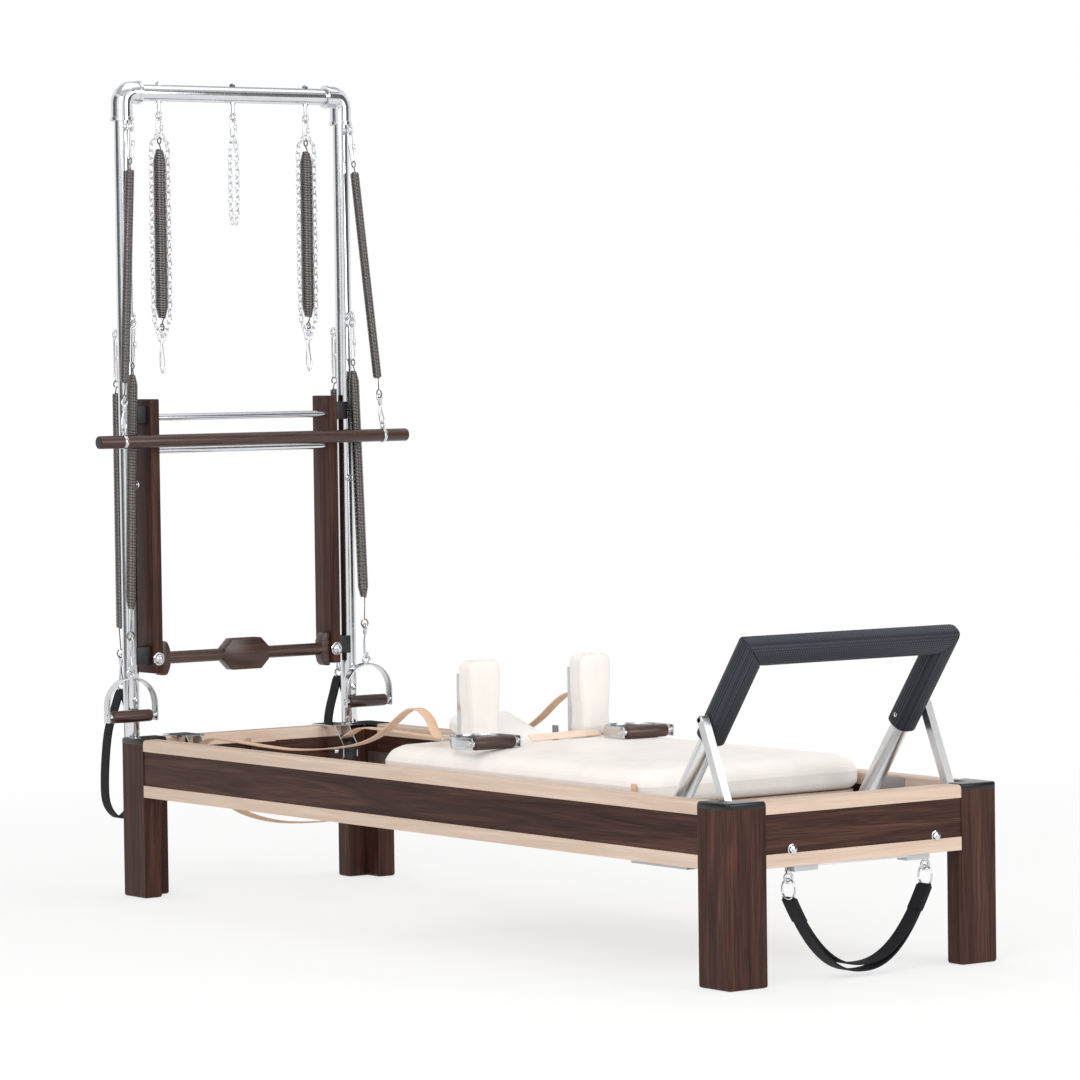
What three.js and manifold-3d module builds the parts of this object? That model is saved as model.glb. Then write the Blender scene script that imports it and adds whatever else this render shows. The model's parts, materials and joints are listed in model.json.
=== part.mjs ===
// Exercise bed with a sliding carriage, a folding foot bar and a sprung tower at its head end.
// Millimetres. X runs from the tower to the foot bar, Y across the bed, Z up from the floor.
// "near" pieces stand at negative Y and "far" pieces at positive Y.
import * as THREE from 'three';
import { mergeVertices } from 'three/addons/utils/BufferGeometryUtils.js';
import Module from 'manifold-3d';

const wasm = await Module();
wasm.setup();

// Clearance between pieces that touch, overlap of joined shapes, reach of cutters, facet counts
const gap = 0.3;
const bite = 1;
const overrun = 2;
const mergeStep = 1e-4;
const roundCount = 12;
const smallCount = 8;
const wireCount = 6;
const bendSteps = 3;

// Wooden bed frame
const bed = { length: 2240, width: 700, height: 366 };
const leg = { face: 95.5, flange: 45, round: 9, ease: 5 };
const rail = { thick: 45, depth: 132, cap: 26, lip: 27, step: 2, nose: 9, ease: 3 };
const stopBlock = { width: 68, out: 22, height: 25, drop: 16 };
const domeBolt = { radius: 10.5, rise: 6, apart: 374, up: 33 };
const underStrip = { start: 1922, end: 2101, inset: 8, width: 30, thick: 6 };
const footPad = { apart: 292, width: 60, depth: 30, inset: 6, thick: 12 };

// Carriage and the tracks that it runs on
const track = { start: 60, end: 1885, web: 3, shelf: 28.7, thick: 4, above: 32.3, below: 13, up: 33.7 };
const wheel = { radius: 22, width: 22.5, axle: 6, fromEnd: 95, edge: 1.5, clear: 1 };
const bearing = { inner: 245, outer: 270, half: 20, below: 14, clear: 0.4 };
const carriage = { start: 960, end: 1902, half: 295, thick: 18, inset: 6, top: 411, bottom: 332.3 };
const cushion = { corner: 50, draw: 5, crown: 19, edge: 22 };
const head = { hinge: 1100, up: 366, length: 178, half: 82, thick: 46, tilt: 17.7, corner: 18, crown: 6 };
const ear = { thick: 4, half: 9, up: 66, pin: 5, clear: 1.6, slack: 0.3, leaf: 8 };
const headBed = { half: 92, past: 14, blockHalf: 40, setback: 24 };
const rest = { front: 1170, thick: 53, wide: 80, middle: 149, height: 177, waist: 5, corner: 20, crown: 6 };
const restEdgeShares = [-0.3, -0.1, 0.1, 0.3];
const waistPlaceShare = 0.22;
const waistSpreadShare = 0.2;
const plate = { wide: 60, deep: 15.5, wall: 3, height: 147, tongue: 46 };

// Springs under the carriage and the channel that holds them at the foot end
const bedSpring = { count: 4, apart: 90, up: 257, radius: 11.5, wire: 2, shank: 34, knob: 5, knobLength: 4 };
const carriageBar = { at: 1500, thick: 8, margin: 30, below: 12 };
const springBar = { deep: 30, thick: 4, half: 240, rise: 34, under: 14 };

// Folding foot bar
const bar = { pivot: 1940, up: 310, lean: 54.1, reach: 430, half: 250, radius: 19, bend: 30, tail: 24 };
const barPad = { wide: 55, start: 210, ease: 12 };
const barPin = { radius: 8, clear: 0.5, reach: 16 };
const barBoss = { radius: 19, clear: 1 };
const barPlate = { start: 1897, end: 2009, low: 262, high: 362, thick: 4 };
const brace = { at: 259, inner: 281, wide: 18, wall: 2.5, deep: 18, lean: 23.2, reach: 214, tail: 12 };
const bracePin = { radius: 5, clear: 0.5, head: 3, webCut: 13 };

// Tower
const tower = { back: 23, half: 306, top: 1860 };
const pipe = { radius: 19 };
const elbow = { radius: 25, lip: 27, lipLength: 9, drop: 66, across: 48, bore: 39, turn: 27 };
const postBolt = { radius: 5, head: 9, rise: 5 };
const postBoltHeights = [66, 330, 450];
const sideEye = { up: 952, ring: 7, inward: 6, out: 5 };
const eye = { ring: 9.5, wire: 2.8, shank: 4, nut: 7.5, nutHeight: 7, steps: 8, sides: 4 };

// Wooden frame that slides on the posts
const slider = { low: 511, high: 1149, back: 60, front: 10, inner: 237, thick: 25, ease: 3 };
const shoe = { back: 46, front: 2, reach: 300, height: 42 };
const shoeHeights = [532, 1092];
const crossRod = { radius: 8, at: -7 };
const crossRodHeights = [1106, 1030];
const footRest = { at: -12, up: 545, radius: 14.5, wide: 126, tall: 74, deep: 30, shoulder: 14 };
const footEnd = { tall: 80, wide: 25, neck: 34 };
const sliderBolt = { radius: 12.5, rise: 10, washer: 15, washerRise: 2.5 };

// Springs of the tower, as depths below the eye: head is the end of the hardware, start and end the coils
const rollSpring = { radius: 11, wire: 1.6, head: 70, start: 96, end: 590, curls: 2, links: 1 };
const armSpring = { radius: 13, wire: 1.7, head: 84, start: 112, end: 654, curls: 2, links: 1 };
const legSpring = { radius: 10.5, wire: 1.6, head: 104, start: 132, end: 680, curls: 2, links: 1 };
const hangSpring = { radius: 15.7, wire: 1.9, head: 46, start: 74, end: 466, curls: 2, links: 1 };
const rollEye = { up: 1780, at: 16 };
const armEye = { up: 1337, at: 10 };
const legEye = { up: 1300, at: 66 };
const topEye = { drop: 53, half: 205 };
const springHook = { radius: 6.5, open: 40, steps: 5 };
const hardware = { wire: 2.2, width: 17, steps: 6, sides: 4 };
const coilSlack = 2;
const coilSteps = 8;
const coilSides = 3;
const hangingEnd = 1207;
const safety = { out: 22, start: 24, end: 512, wire: 2.6, side: 16 };

const rollBar = { length: 861, radius: 15, at: 54, up: 1052.5, grip: 362, band: 1.5, bandWide: 8 };
const rollRing = { radius: 7.5, wire: 2 };
const handle = { half: 65, reach: 98.5, bandWide: 25, bandThick: 3, grip: 14, gripHalf: 53, pin: 8, lug: 16 };
const armHandle = { lean: 331, at: 16, up: 514.5 };
const webbing = { wide: 34, thick: 3, top: 472, bottom: 174, half: 42, waistUp: 265, steps: 16 };
const chainLink = { length: 45, width: 17, wire: 2, steps: 6, sides: 3 };
const centreChain = { links: 6, spread: 9, leanShare: 0.03 };

// Pulleys with their risers at the tower end
const pulley = { at: 92, up: 308, half: 208, radius: 28, flange: 32, width: 34, lip: 3, axle: 5, end: 4 };
const riser = { start: 6, end: 88, half: 31, thick: 3.6, front: 32, low: 24, rear: 34 };
const cheek = { thick: 3, clear: 1, slack: 0.5 };

// Leather straps, the strip of leather left on the cushion, and the handles that lie there
const strap = { wide: 25, thick: 3, wrapStart: -62, wrapTurn: -218, wrapSteps: 10 };
const looseStrip = { wide: 20, thick: 3, nearX: 1212, nearY: -62, farX: 1186, farY: 142 };
const lying = {
  near: { reach: 116, x: 1305, y: -232, turn: 2 },
  far: { reach: 116, x: 1305, y: 176, turn: -3 },
};

// Webbing belt under the foot end
const belt = { half: 178, wide: 38, thick: 3.5, bottom: 10, ply: 13, inset: 19, steps: 10 };
const beltSagShare = 2.3;
const beltRing = { width: 46, length: 40, wire: 2.5, shank: 4 };

// Materials
function material(color, roughness, metalness) {
  return new THREE.MeshStandardMaterial({ color, roughness, metalness });
}

const walnut = material(0x4a2f28, 0.45, 0);
const chrome = material(0xd8dbde, 0.15, 1);
const aluminium = material(0xb9bcbf, 0.4, 1);
const springSteel = material(0x6b645c, 0.35, 0.9);
const vinyl = material(0xf3ece3, 0.5, 0);
const blackRubber = material(0x20242b, 0.8, 0);
const blackPlastic = material(0x17181a, 0.5, 0);
const leather = material(0xd9ab84, 0.6, 0);
const plywood = material(0xc9a67c, 0.6, 0);

const machine = new THREE.Group();
const sides = [['near', -1], ['far', 1]];
const axisX = new THREE.Vector3(1, 0, 0);
const axisY = new THREE.Vector3(0, 1, 0);
const axisZ = new THREE.Vector3(0, 0, 1);
const down = new THREE.Vector3(0, 0, -1);
const radians = THREE.MathUtils.degToRad;
const vec = (x, y, z) => new THREE.Vector3(x, y, z);
const zero = vec(0, 0, 0);

const halfBed = bed.width / 2;
const innerHalf = halfBed - rail.thick;
const railBottom = bed.height - rail.depth;
const shelfTop = railBottom + track.up;
const axleUp = shelfTop + gap + wheel.radius;
const headPinUp = head.up + ear.pin + ear.clear;
const eyeHole = eye.ring - eye.wire;

// Solids from geometry, and back
function toSolid(geometry) {
  const bare = geometry.clone();
  bare.deleteAttribute('normal');
  bare.deleteAttribute('uv');
  const merged = mergeVertices(bare, mergeStep);
  const vertProperties = new Float32Array(merged.attributes.position.array);
  const triVerts = new Uint32Array(merged.index.array);
  return new wasm.Manifold(new wasm.Mesh({ numProp: 3, vertProperties, triVerts }));
}

function toGeometry(solid) {
  const mesh = solid.getMesh();
  const geometry = new THREE.BufferGeometry();
  geometry.setAttribute('position', new THREE.BufferAttribute(new Float32Array(mesh.vertProperties), 3));
  geometry.setIndex(new THREE.BufferAttribute(new Uint32Array(mesh.triVerts), 1));
  geometry.computeVertexNormals();
  return geometry;
}

function join(solids) {
  return solids.reduce((all, one) => all.add(one));
}

function addPiece(name, solid, look, place = zero, turn = new THREE.Quaternion()) {
  const mesh = new THREE.Mesh(toGeometry(solid), look);
  mesh.name = name;
  mesh.position.copy(place);
  mesh.quaternion.copy(turn);
  machine.add(mesh);
}

// Basic shapes
function box(x0, x1, y0, y1, z0, z1) {
  const geometry = new THREE.BoxGeometry(Math.abs(x1 - x0), Math.abs(y1 - y0), Math.abs(z1 - z0));
  geometry.translate((x0 + x1) / 2, (y0 + y1) / 2, (z0 + z1) / 2);
  return toSolid(geometry);
}

function rod(from, to, radius, count = roundCount) {
  const along = to.clone().sub(from);
  const geometry = new THREE.CylinderGeometry(radius, radius, along.length(), count);
  geometry.applyQuaternion(new THREE.Quaternion().setFromUnitVectors(axisY, along.normalize()));
  const middle = from.clone().add(to).multiplyScalar(0.5);
  geometry.translate(middle.x, middle.y, middle.z);
  return toSolid(geometry);
}

function rodAcross(x, z, y0, y1, radius, count = roundCount) {
  return rod(vec(x, y0, z), vec(x, y1, z), radius, count);
}

function ring(centre, axis, radius, wire) {
  const geometry = new THREE.TorusGeometry(radius, wire, eye.sides, eye.steps);
  geometry.applyQuaternion(new THREE.Quaternion().setFromUnitVectors(axisZ, axis));
  geometry.translate(centre.x, centre.y, centre.z);
  return toSolid(geometry);
}

function turned(profile, from, axis, count = roundCount) {
  const geometry = new THREE.LatheGeometry(profile.map(([r, h]) => new THREE.Vector2(r, h)), count);
  geometry.applyQuaternion(new THREE.Quaternion().setFromUnitVectors(axisY, axis));
  geometry.translate(from.x, from.y, from.z);
  return toSolid(geometry);
}

function dome(radius, rise, from, axis) {
  const slope = Math.SQRT1_2;
  const edge = [[radius, -overrun], [radius, 0], [radius * slope, rise * slope]];
  return turned([[0, -overrun], ...edge, [0, rise]], from, axis, smallCount);
}

// An outline in the plane of the first two axes, pushed along the third
function prism(outline, first, second, from, to, bevel = 0) {
  const shape = outline instanceof THREE.Shape ? outline
    : new THREE.Shape(outline.map(([a, b]) => new THREE.Vector2(a, b)));
  const third = first.clone().cross(second);
  const along = third.x + third.y + third.z;
  const geometry = new THREE.ExtrudeGeometry(shape, {
    depth: Math.abs(to - from) - 2 * bevel,
    bevelEnabled: bevel > 0,
    bevelThickness: bevel,
    bevelSize: bevel,
    bevelOffset: -bevel,
    bevelSegments: 2,
    curveSegments: 3,
  });
  geometry.translate(0, 0, Math.min(along * from, along * to) + bevel);
  geometry.applyMatrix4(new THREE.Matrix4().makeBasis(first, second, third));
  return toSolid(geometry);
}

function roundSection(radius, count = wireCount) {
  return Array.from({ length: count }, (_, i) => {
    const angle = (i / count) * 2 * Math.PI;
    return [radius * Math.cos(angle), radius * Math.sin(angle)];
  });
}

function flatSection(wide, thick) {
  return [[-wide / 2, -thick / 2], [wide / 2, -thick / 2], [wide / 2, thick / 2], [-wide / 2, thick / 2]];
}

function meshSolid(positions, indices, placed = new THREE.Matrix4()) {
  const geometry = new THREE.BufferGeometry();
  geometry.setAttribute('position', new THREE.Float32BufferAttribute(positions, 3));
  geometry.setIndex(indices);
  geometry.applyMatrix4(placed);
  return toSolid(geometry);
}

function sweptPositions(points, section, side, closed) {
  const count = points.length;
  const across = side.clone();
  const positions = [];
  points.forEach((point, i) => {
    const before = points[closed ? (i + count - 1) % count : Math.max(i - 1, 0)];
    const after = points[closed ? (i + 1) % count : Math.min(i + 1, count - 1)];
    const along = after.clone().sub(before).normalize();
    across.addScaledVector(along, -across.dot(along)).normalize();
    const out = along.clone().cross(across);
    for (const [a, b] of section) {
      positions.push(...point.clone().addScaledVector(across, a).addScaledVector(out, b).toArray());
    }
  });
  return positions;
}

// A section carried along points, with side as the first direction of its width
function sweep(points, section, side, closed = false) {
  const count = points.length;
  const corners = section.length;
  const indices = [];
  for (let i = 0; i < (closed ? count : count - 1); i++) {
    const here = i * corners;
    const next = ((i + 1) % count) * corners;
    for (let k = 0; k < corners; k++) {
      const k1 = (k + 1) % corners;
      indices.push(here + k, here + k1, next + k, here + k1, next + k1, next + k);
    }
  }
  if (!closed) {
    const end = (count - 1) * corners;
    for (let k = 1; k < corners - 1; k++) {
      indices.push(0, k + 1, k, end, end + k, end + k + 1);
    }
  }
  return meshSolid(sweptPositions(points, section, side, closed), indices);
}

// An upholstered pad: rings of one outline, each drawn in by its inset at its height
function pillow(outline, halfA, halfB, levels, placed) {
  const corners = outline.length;
  const positions = [];
  for (const [inset, height] of levels) {
    for (const [a, b] of outline) {
      positions.push(a * (1 - inset / halfA), b * (1 - inset / halfB), height);
    }
  }
  const lastRing = (levels.length - 1) * corners;
  const middle = levels.length * corners;
  positions.push(0, 0, levels[0][1], 0, 0, levels[levels.length - 1][1]);
  const indices = [];
  for (let i = 0; i < levels.length - 1; i++) {
    for (let k = 0; k < corners; k++) {
      const here = i * corners + k;
      const next = i * corners + ((k + 1) % corners);
      indices.push(here, next, here + corners, next, next + corners, here + corners);
    }
  }
  for (let k = 0; k < corners; k++) {
    const k1 = (k + 1) % corners;
    indices.push(middle, k1, k, middle + 1, lastRing + k, lastRing + k1);
  }
  return meshSolid(positions, indices, placed);
}

function roundedOutline(halfA, halfB, corner, steps = bendSteps) {
  const points = [];
  const cornerSigns = [[1, 1], [-1, 1], [-1, -1], [1, -1]];
  cornerSigns.forEach(([signA, signB], quarter) => {
    for (let i = 0; i <= steps; i++) {
      const angle = (quarter + i / steps) * Math.PI / 2;
      const a = signA * (halfA - corner) + corner * Math.cos(angle);
      const b = signB * (halfB - corner) + corner * Math.sin(angle);
      points.push([a, b]);
    }
  });
  return points;
}

function shifted(outline, a, b) {
  return outline.map(([p, q]) => [p + a, q + b]);
}

// A stretched wire ring whose end wire runs through top and which reaches away along a direction
function linkLoop(top, away, side, width, length, wire, steps = hardware.steps, count = hardware.sides) {
  const half = width / 2 - wire;
  const middle = length / 2 - wire;
  const peak = steps % 4 ? 1 : Math.cos(Math.PI / steps);
  const points = Array.from({ length: steps }, (_, i) => {
    const angle = ((i + 0.5) / steps) * 2 * Math.PI;
    const rise = Math.sin(angle);
    const reach = middle - (rise * half) / peak - Math.sign(rise) * (middle - half);
    return top.clone().addScaledVector(away, reach).addScaledVector(side, Math.cos(angle) * half);
  });
  return sweep(points, roundSection(wire, count), side, true);
}

// Links hooked through each other from one end wire to the other, over a distance
function linkRun(from, away, reach, links, firstSide, secondSide) {
  const { wire, width } = hardware;
  const overlap = 2 * wire - bite;
  const span = (reach + (links - 1) * overlap) / links;
  return Array.from({ length: links }, (_, i) => {
    const top = from.clone().addScaledVector(away, i * (span - overlap));
    return linkLoop(top, away, i % 2 ? secondSide : firstSide, width, span + 2 * wire, wire);
  });
}

function leastGap(points, radius) {
  let least = Infinity;
  for (let i = 0; i < points.length; i++) {
    for (let j = i + coilSteps / 2 + 1; j < points.length; j++) {
      least = Math.min(least, points[i].distanceTo(points[j]) - 2 * radius);
    }
  }
  return least;
}

const coilGaps = [];

function coneLength(spec) {
  return spec.curls * (2 * spec.wire + coilSlack);
}

// Points of one unbroken wire: end hook, straight neck, then curls that open out to the body
function springWire(spec, hookTop, start, side) {
  const { wire, curls } = spec;
  const other = axisZ.clone().cross(side);
  const openTurn = radians(springHook.open);
  const hookMiddle = hookTop + springHook.radius;
  const points = [];
  for (let i = 0; i < springHook.steps; i++) {
    const angle = openTurn + (i / springHook.steps) * (2 * Math.PI - openTurn);
    const depth = hookMiddle + springHook.radius * Math.cos(angle);
    points.push(vec(0, 0, -depth).addScaledVector(side, springHook.radius * Math.sin(angle)));
  }
  points.push(vec(0, 0, -hookMiddle - springHook.radius));
  const count = curls * coilSteps;
  for (let i = 0; i <= count; i++) {
    const share = i / count;
    const radius = THREE.MathUtils.lerp(2 * wire, spec.radius - wire, share);
    const angle = share * curls * 2 * Math.PI;
    const point = vec(0, 0, -start - share * coneLength(spec));
    point.addScaledVector(side, radius * Math.cos(angle)).addScaledVector(other, radius * Math.sin(angle));
    points.push(point);
  }
  coilGaps.push(leastGap(points, wire));
  return points;
}

// A spring with the hardware above and below it, hanging down from its own seat in an eye
function springAssembly(spec, total, topSide, endSide) {
  const neck = spec.start - spec.head;
  const footReach = total - spec.end - neck;
  const hold = hardware.wire + spec.wire - bite;
  const upper = springWire(spec, spec.head, spec.start, topSide);
  const turnedOver = (p) => vec(p.x, -p.y, -p.z - total);
  const lower = springWire(spec, footReach, total - spec.end, endSide).map(turnedOver);
  const section = roundSection(spec.wire, coilSides);
  const foot = vec(0, 0, -total);
  const otherTop = axisZ.clone().cross(topSide);
  const otherEnd = axisZ.clone().cross(endSide);
  const bodyTop = vec(0, 0, bite - spec.start - coneLength(spec));
  const bodyEnd = vec(0, 0, coneLength(spec) - spec.end - bite);
  const topSides = spec.links % 2 ? [otherTop, topSide] : [topSide, otherTop];
  const endSides = spec.links % 2 ? [otherEnd, endSide] : [endSide, otherEnd];
  return join([
    rod(bodyTop, bodyEnd, spec.radius),
    sweep(upper, section, topSides[0]),
    sweep(lower, section, endSides[0]),
    ...linkRun(zero, down, spec.head + hold, spec.links, topSide, otherTop),
    ...linkRun(foot, axisZ, footReach + hold, spec.links, endSide, otherEnd),
  ]);
}

// Centre of a hook's wire where it bears on the inside of an eye, from above or from below
function seatIn(eyeUp, hole = eyeHole) {
  return eyeUp - hole + gap + hardware.wire;
}

function seatOver(eyeUp, hole = eyeHole) {
  return eyeUp + hole - gap - hardware.wire;
}

function aim(from, to) {
  return new THREE.Quaternion().setFromUnitVectors(down, to.clone().sub(from).normalize());
}

// Bed frame
function legSolid(end, side) {
  const { face, flange, round } = leg;
  const x = (a) => (end < 0 ? a : bed.length - a);
  const y = (b) => side * (halfBed - b);
  const outline = new THREE.Shape();
  outline.moveTo(x(round), y(0));
  outline.lineTo(x(face), y(0));
  outline.lineTo(x(face), y(flange));
  outline.lineTo(x(flange), y(flange));
  outline.lineTo(x(flange), y(face));
  outline.lineTo(x(0), y(face));
  outline.lineTo(x(0), y(round));
  outline.quadraticCurveTo(x(0), y(0), x(round), y(0));
  return prism(outline, axisX, axisY, 0, bed.height, leg.ease);
}

function bracePinPlace() {
  const lean = radians(bar.lean);
  const swing = radians(brace.lean);
  const x = bar.pivot + brace.at * Math.cos(lean) + brace.reach * Math.sin(swing);
  const z = bar.up + brace.at * Math.sin(lean) - brace.reach * Math.cos(swing);
  return { x, z };
}

function addLegs() {
  const { x, z } = bracePinPlace();
  for (const [name, side] of sides) {
    addPiece(`leg_tower_${name}`, legSolid(-1, side), walnut);
    const inner = side * (brace.inner - bracePin.head);
    const pin = rodAcross(x, z, inner, side * (innerHalf + overrun), bracePin.radius);
    addPiece(`leg_foot_${name}`, legSolid(1, side).add(pin), walnut);
  }
}

// Section of a rail: a rounded light cap, a dark board and a light lip, out from the inner face
function railOutline(out) {
  const { thick, cap, lip, step, nose, ease } = rail;
  const top = bed.height;
  const shape = new THREE.Shape();
  shape.moveTo(out(0), railBottom);
  shape.lineTo(out(thick), railBottom);
  shape.lineTo(out(thick), railBottom + lip);
  shape.lineTo(out(thick - step), railBottom + lip);
  shape.lineTo(out(thick - step), top - cap);
  shape.lineTo(out(thick), top - cap);
  shape.lineTo(out(thick), top - nose);
  shape.quadraticCurveTo(out(thick), top, out(thick - nose), top);
  shape.lineTo(out(ease), top);
  shape.lineTo(out(0), top - ease);
  return shape;
}

// Bracket plate with the pivot of the foot bar, on the inside of a side rail
function barBracket(side) {
  const { start, end, low, high, thick } = barPlate;
  const inside = side * (innerHalf + overrun);
  const bossEnd = side * (bar.half + bar.radius + barBoss.clear);
  return join([
    box(start, end, side * (innerHalf - thick), inside, low, high),
    rodAcross(bar.pivot, bar.up, side * (bar.half - barPin.reach), inside, barPin.radius),
    rodAcross(bar.pivot, bar.up, bossEnd, inside, barBoss.radius),
  ]);
}

function addRails() {
  const start = leg.face + gap;
  const end = bed.length - leg.face - gap;
  const { inset, width, thick } = underStrip;
  for (const [name, side] of sides) {
    const wood = prism(railOutline((o) => side * (innerHalf + o)), axisY, axisZ, start, end);
    const strip = box(underStrip.start, underStrip.end, side * (innerHalf + inset),
      side * (innerHalf + inset + width), railBottom - thick, railBottom + bite);
    addPiece(`side_rail_${name}`, join([wood, barBracket(side), strip]), walnut);
  }
  addFootRail();
  addTowerRail();
}

function beltEyeX() {
  return bed.length - rail.thick + belt.inset;
}

function addFootRail() {
  const across = halfBed - leg.face - gap;
  const inner = bed.length - rail.thick;
  const parts = [prism(railOutline((o) => inner + o), axisX, axisZ, -across, across)];
  for (const [, side] of sides) {
    const boltPlace = vec(bed.length - rail.step, side * domeBolt.apart / 2, railBottom + domeBolt.up);
    parts.push(dome(domeBolt.radius, domeBolt.rise, boltPlace, axisX));
    const padX = inner + footPad.inset;
    const padY = side * footPad.apart / 2;
    parts.push(box(padX, padX + footPad.depth, padY - footPad.width / 2, padY + footPad.width / 2,
      railBottom - footPad.thick, railBottom + bite));
    const eyePlace = vec(beltEyeX(), side * belt.half, railBottom + bite);
    parts.push(eyeBolt(eyePlace, down, axisX, footPad.thick + beltRing.shank));
  }
  addPiece('foot_rail', join(parts), walnut);
}

function addTowerRail() {
  const across = halfBed - leg.face - gap;
  const wood = prism(railOutline((o) => rail.thick - o), axisX, axisZ, -across, across);
  const top = bed.height - stopBlock.drop;
  const half = stopBlock.width / 2;
  const block = box(rail.thick - bite, rail.thick + stopBlock.out, -half, half, top - stopBlock.height, top);
  addPiece('tower_rail', wood.add(block), walnut);
}

function addTracks() {
  const { web, shelf, thick, above, below } = track;
  for (const [name, side] of sides) {
    const y = (inward) => side * (innerHalf - gap - inward);
    const low = shelfTop - thick - below;
    const outline = [
      [y(0), low], [y(0), shelfTop + above], [y(web), shelfTop + above], [y(web), shelfTop],
      [y(shelf), shelfTop], [y(shelf), shelfTop - thick], [y(web), shelfTop - thick], [y(web), low],
    ];
    addPiece(`track_${name}`, prism(outline, axisY, axisZ, track.start, track.end), aluminium);
  }
}

function eyeBolt(place, out, axis, shankLength, radius = eye.ring) {
  const centre = place.clone().addScaledVector(out, shankLength + radius);
  const shank = rod(place, place.clone().addScaledVector(out, shankLength), eye.shank, wireCount);
  return join([shank, ring(centre, axis, radius, eye.wire)]);
}

function springPlaces() {
  const { count, apart } = bedSpring;
  return Array.from({ length: count }, (_, i) => (i - (count - 1) / 2) * apart);
}

function springHoles(from, to) {
  const radius = bedSpring.wire + gap;
  const cutters = springPlaces().map((y) => rod(vec(from - overrun, y, bedSpring.up),
    vec(to + overrun, y, bedSpring.up), radius, wireCount));
  return join(cutters);
}

function springBarFace() {
  return bed.length - rail.thick - gap - springBar.deep;
}

function addSpringBar() {
  const { deep, thick, half, rise, under } = springBar;
  const face = springBarFace();
  const back = face + deep;
  const z = (a) => bedSpring.up + a;
  const outline = [
    [face, z(-under)], [face + thick, z(-under)], [face + thick, z(rise - thick)],
    [back - thick, z(rise - thick)], [back - thick, z(-under)], [back, z(-under)], [back, z(rise)],
    [face, z(rise)],
  ];
  const channel = prism(outline, axisX, axisZ, -half, half);
  addPiece('spring_bar', channel.subtract(springHoles(face, face + thick)), aluminium);
}

// Carriage
function cushionLevels(bottom, top) {
  const { draw, crown, edge } = cushion;
  const shoulder = top - crown;
  return [
    [draw, bottom], [0, bottom + edge / 2], [0, shoulder - edge / 2], [draw / 2, shoulder],
    [edge / 2, shoulder + crown / 2], [edge * 1.5, shoulder + crown * 0.8], [edge * 4, top],
  ];
}

function addCushion() {
  const middle = (carriage.start + carriage.end) / 2;
  const halfLong = (carriage.end - carriage.start) / 2;
  const outline = roundedOutline(halfLong, carriage.half, cushion.corner);
  const placed = new THREE.Matrix4().makeTranslation(middle, 0, 0);
  const levels = cushionLevels(carriage.bottom + gap, carriage.top);
  const low = carriage.bottom - overrun;
  const high = carriage.top + overrun;
  const bedEnd = head.hinge + headBed.past;
  const cutters = [box(carriage.start - overrun, bedEnd, -headBed.half, headBed.half, low, high)];
  for (const [, side] of sides) {
    const y = side * rest.middle;
    const x = rest.front - rest.thick - gap;
    const reach = plate.tongue / 2 + gap;
    cutters.push(box(x - plate.wall - gap, x + gap, y - reach, y + reach, low, high));
  }
  const pad = pillow(outline, halfLong, carriage.half, levels, placed);
  addPiece('carriage_cushion', pad.subtract(join(cutters)), vinyl);
}

function wheelPlaces() {
  return [carriage.start + wheel.fromEnd, carriage.end - wheel.fromEnd];
}

function platformParts() {
  const bottom = carriage.bottom - carriage.thick;
  const { inset } = carriage;
  const halfLong = (carriage.end - carriage.start) / 2 - inset;
  const outline = roundedOutline(halfLong, carriage.half - inset, cushion.corner);
  const middle = (carriage.start + carriage.end) / 2;
  const parts = [prism(shifted(outline, middle, 0), axisX, axisY, bottom, carriage.bottom)];
  for (const [, side] of sides) {
    for (const x of wheelPlaces()) {
      parts.push(box(x - bearing.half, x + bearing.half, side * bearing.inner, side * bearing.outer,
        axleUp - bearing.below, bottom + bite));
    }
    const earY = head.half + ear.clear;
    parts.push(box(head.hinge - ear.half, head.hinge + ear.half, side * earY, side * (earY + ear.thick),
      carriage.bottom - bite, head.up + ear.up));
  }
  const { at, thick, margin, below } = carriageBar;
  const reach = springPlaces().at(-1) + margin;
  parts.push(box(at - thick, at, -reach, reach, bedSpring.up - below, bottom + bite));
  const blockEnd = head.hinge - headBed.setback;
  parts.push(box(carriage.start + cushion.corner, blockEnd, -headBed.blockHalf, headBed.blockHalf,
    carriage.bottom - bite, head.up - gap));
  return parts;
}

function addPlatform() {
  const reach = carriage.half;
  const cutters = wheelPlaces().map((x) => rodAcross(x, axleUp, -reach, reach, wheel.axle + bearing.clear));
  cutters.push(rodAcross(head.hinge, headPinUp, -reach, reach, ear.pin + ear.slack));
  cutters.push(springHoles(carriageBar.at - carriageBar.thick, carriageBar.at));
  addPiece('carriage_platform', join(platformParts()).subtract(join(cutters)), plywood);
}

function addWheelsets() {
  const outer = innerHalf - gap - track.web - wheel.clear;
  const inner = outer - wheel.width;
  const { radius, width, edge } = wheel;
  const tread = [[radius - edge, 0], [radius, edge], [radius, width - edge], [radius - edge, width]];
  const tyre = [[0, 0], ...tread, [0, width]];
  wheelPlaces().forEach((x, i) => {
    const parts = [rodAcross(0, 0, -inner - bite, inner + bite, wheel.axle)];
    for (const [, side] of sides) {
      parts.push(turned(tyre, vec(0, side * inner, 0), vec(0, side, 0)));
    }
    addPiece(`wheelset_${i ? 'foot' : 'tower'}`, join(parts), blackPlastic, vec(x, 0, axleUp));
  });
}

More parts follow.
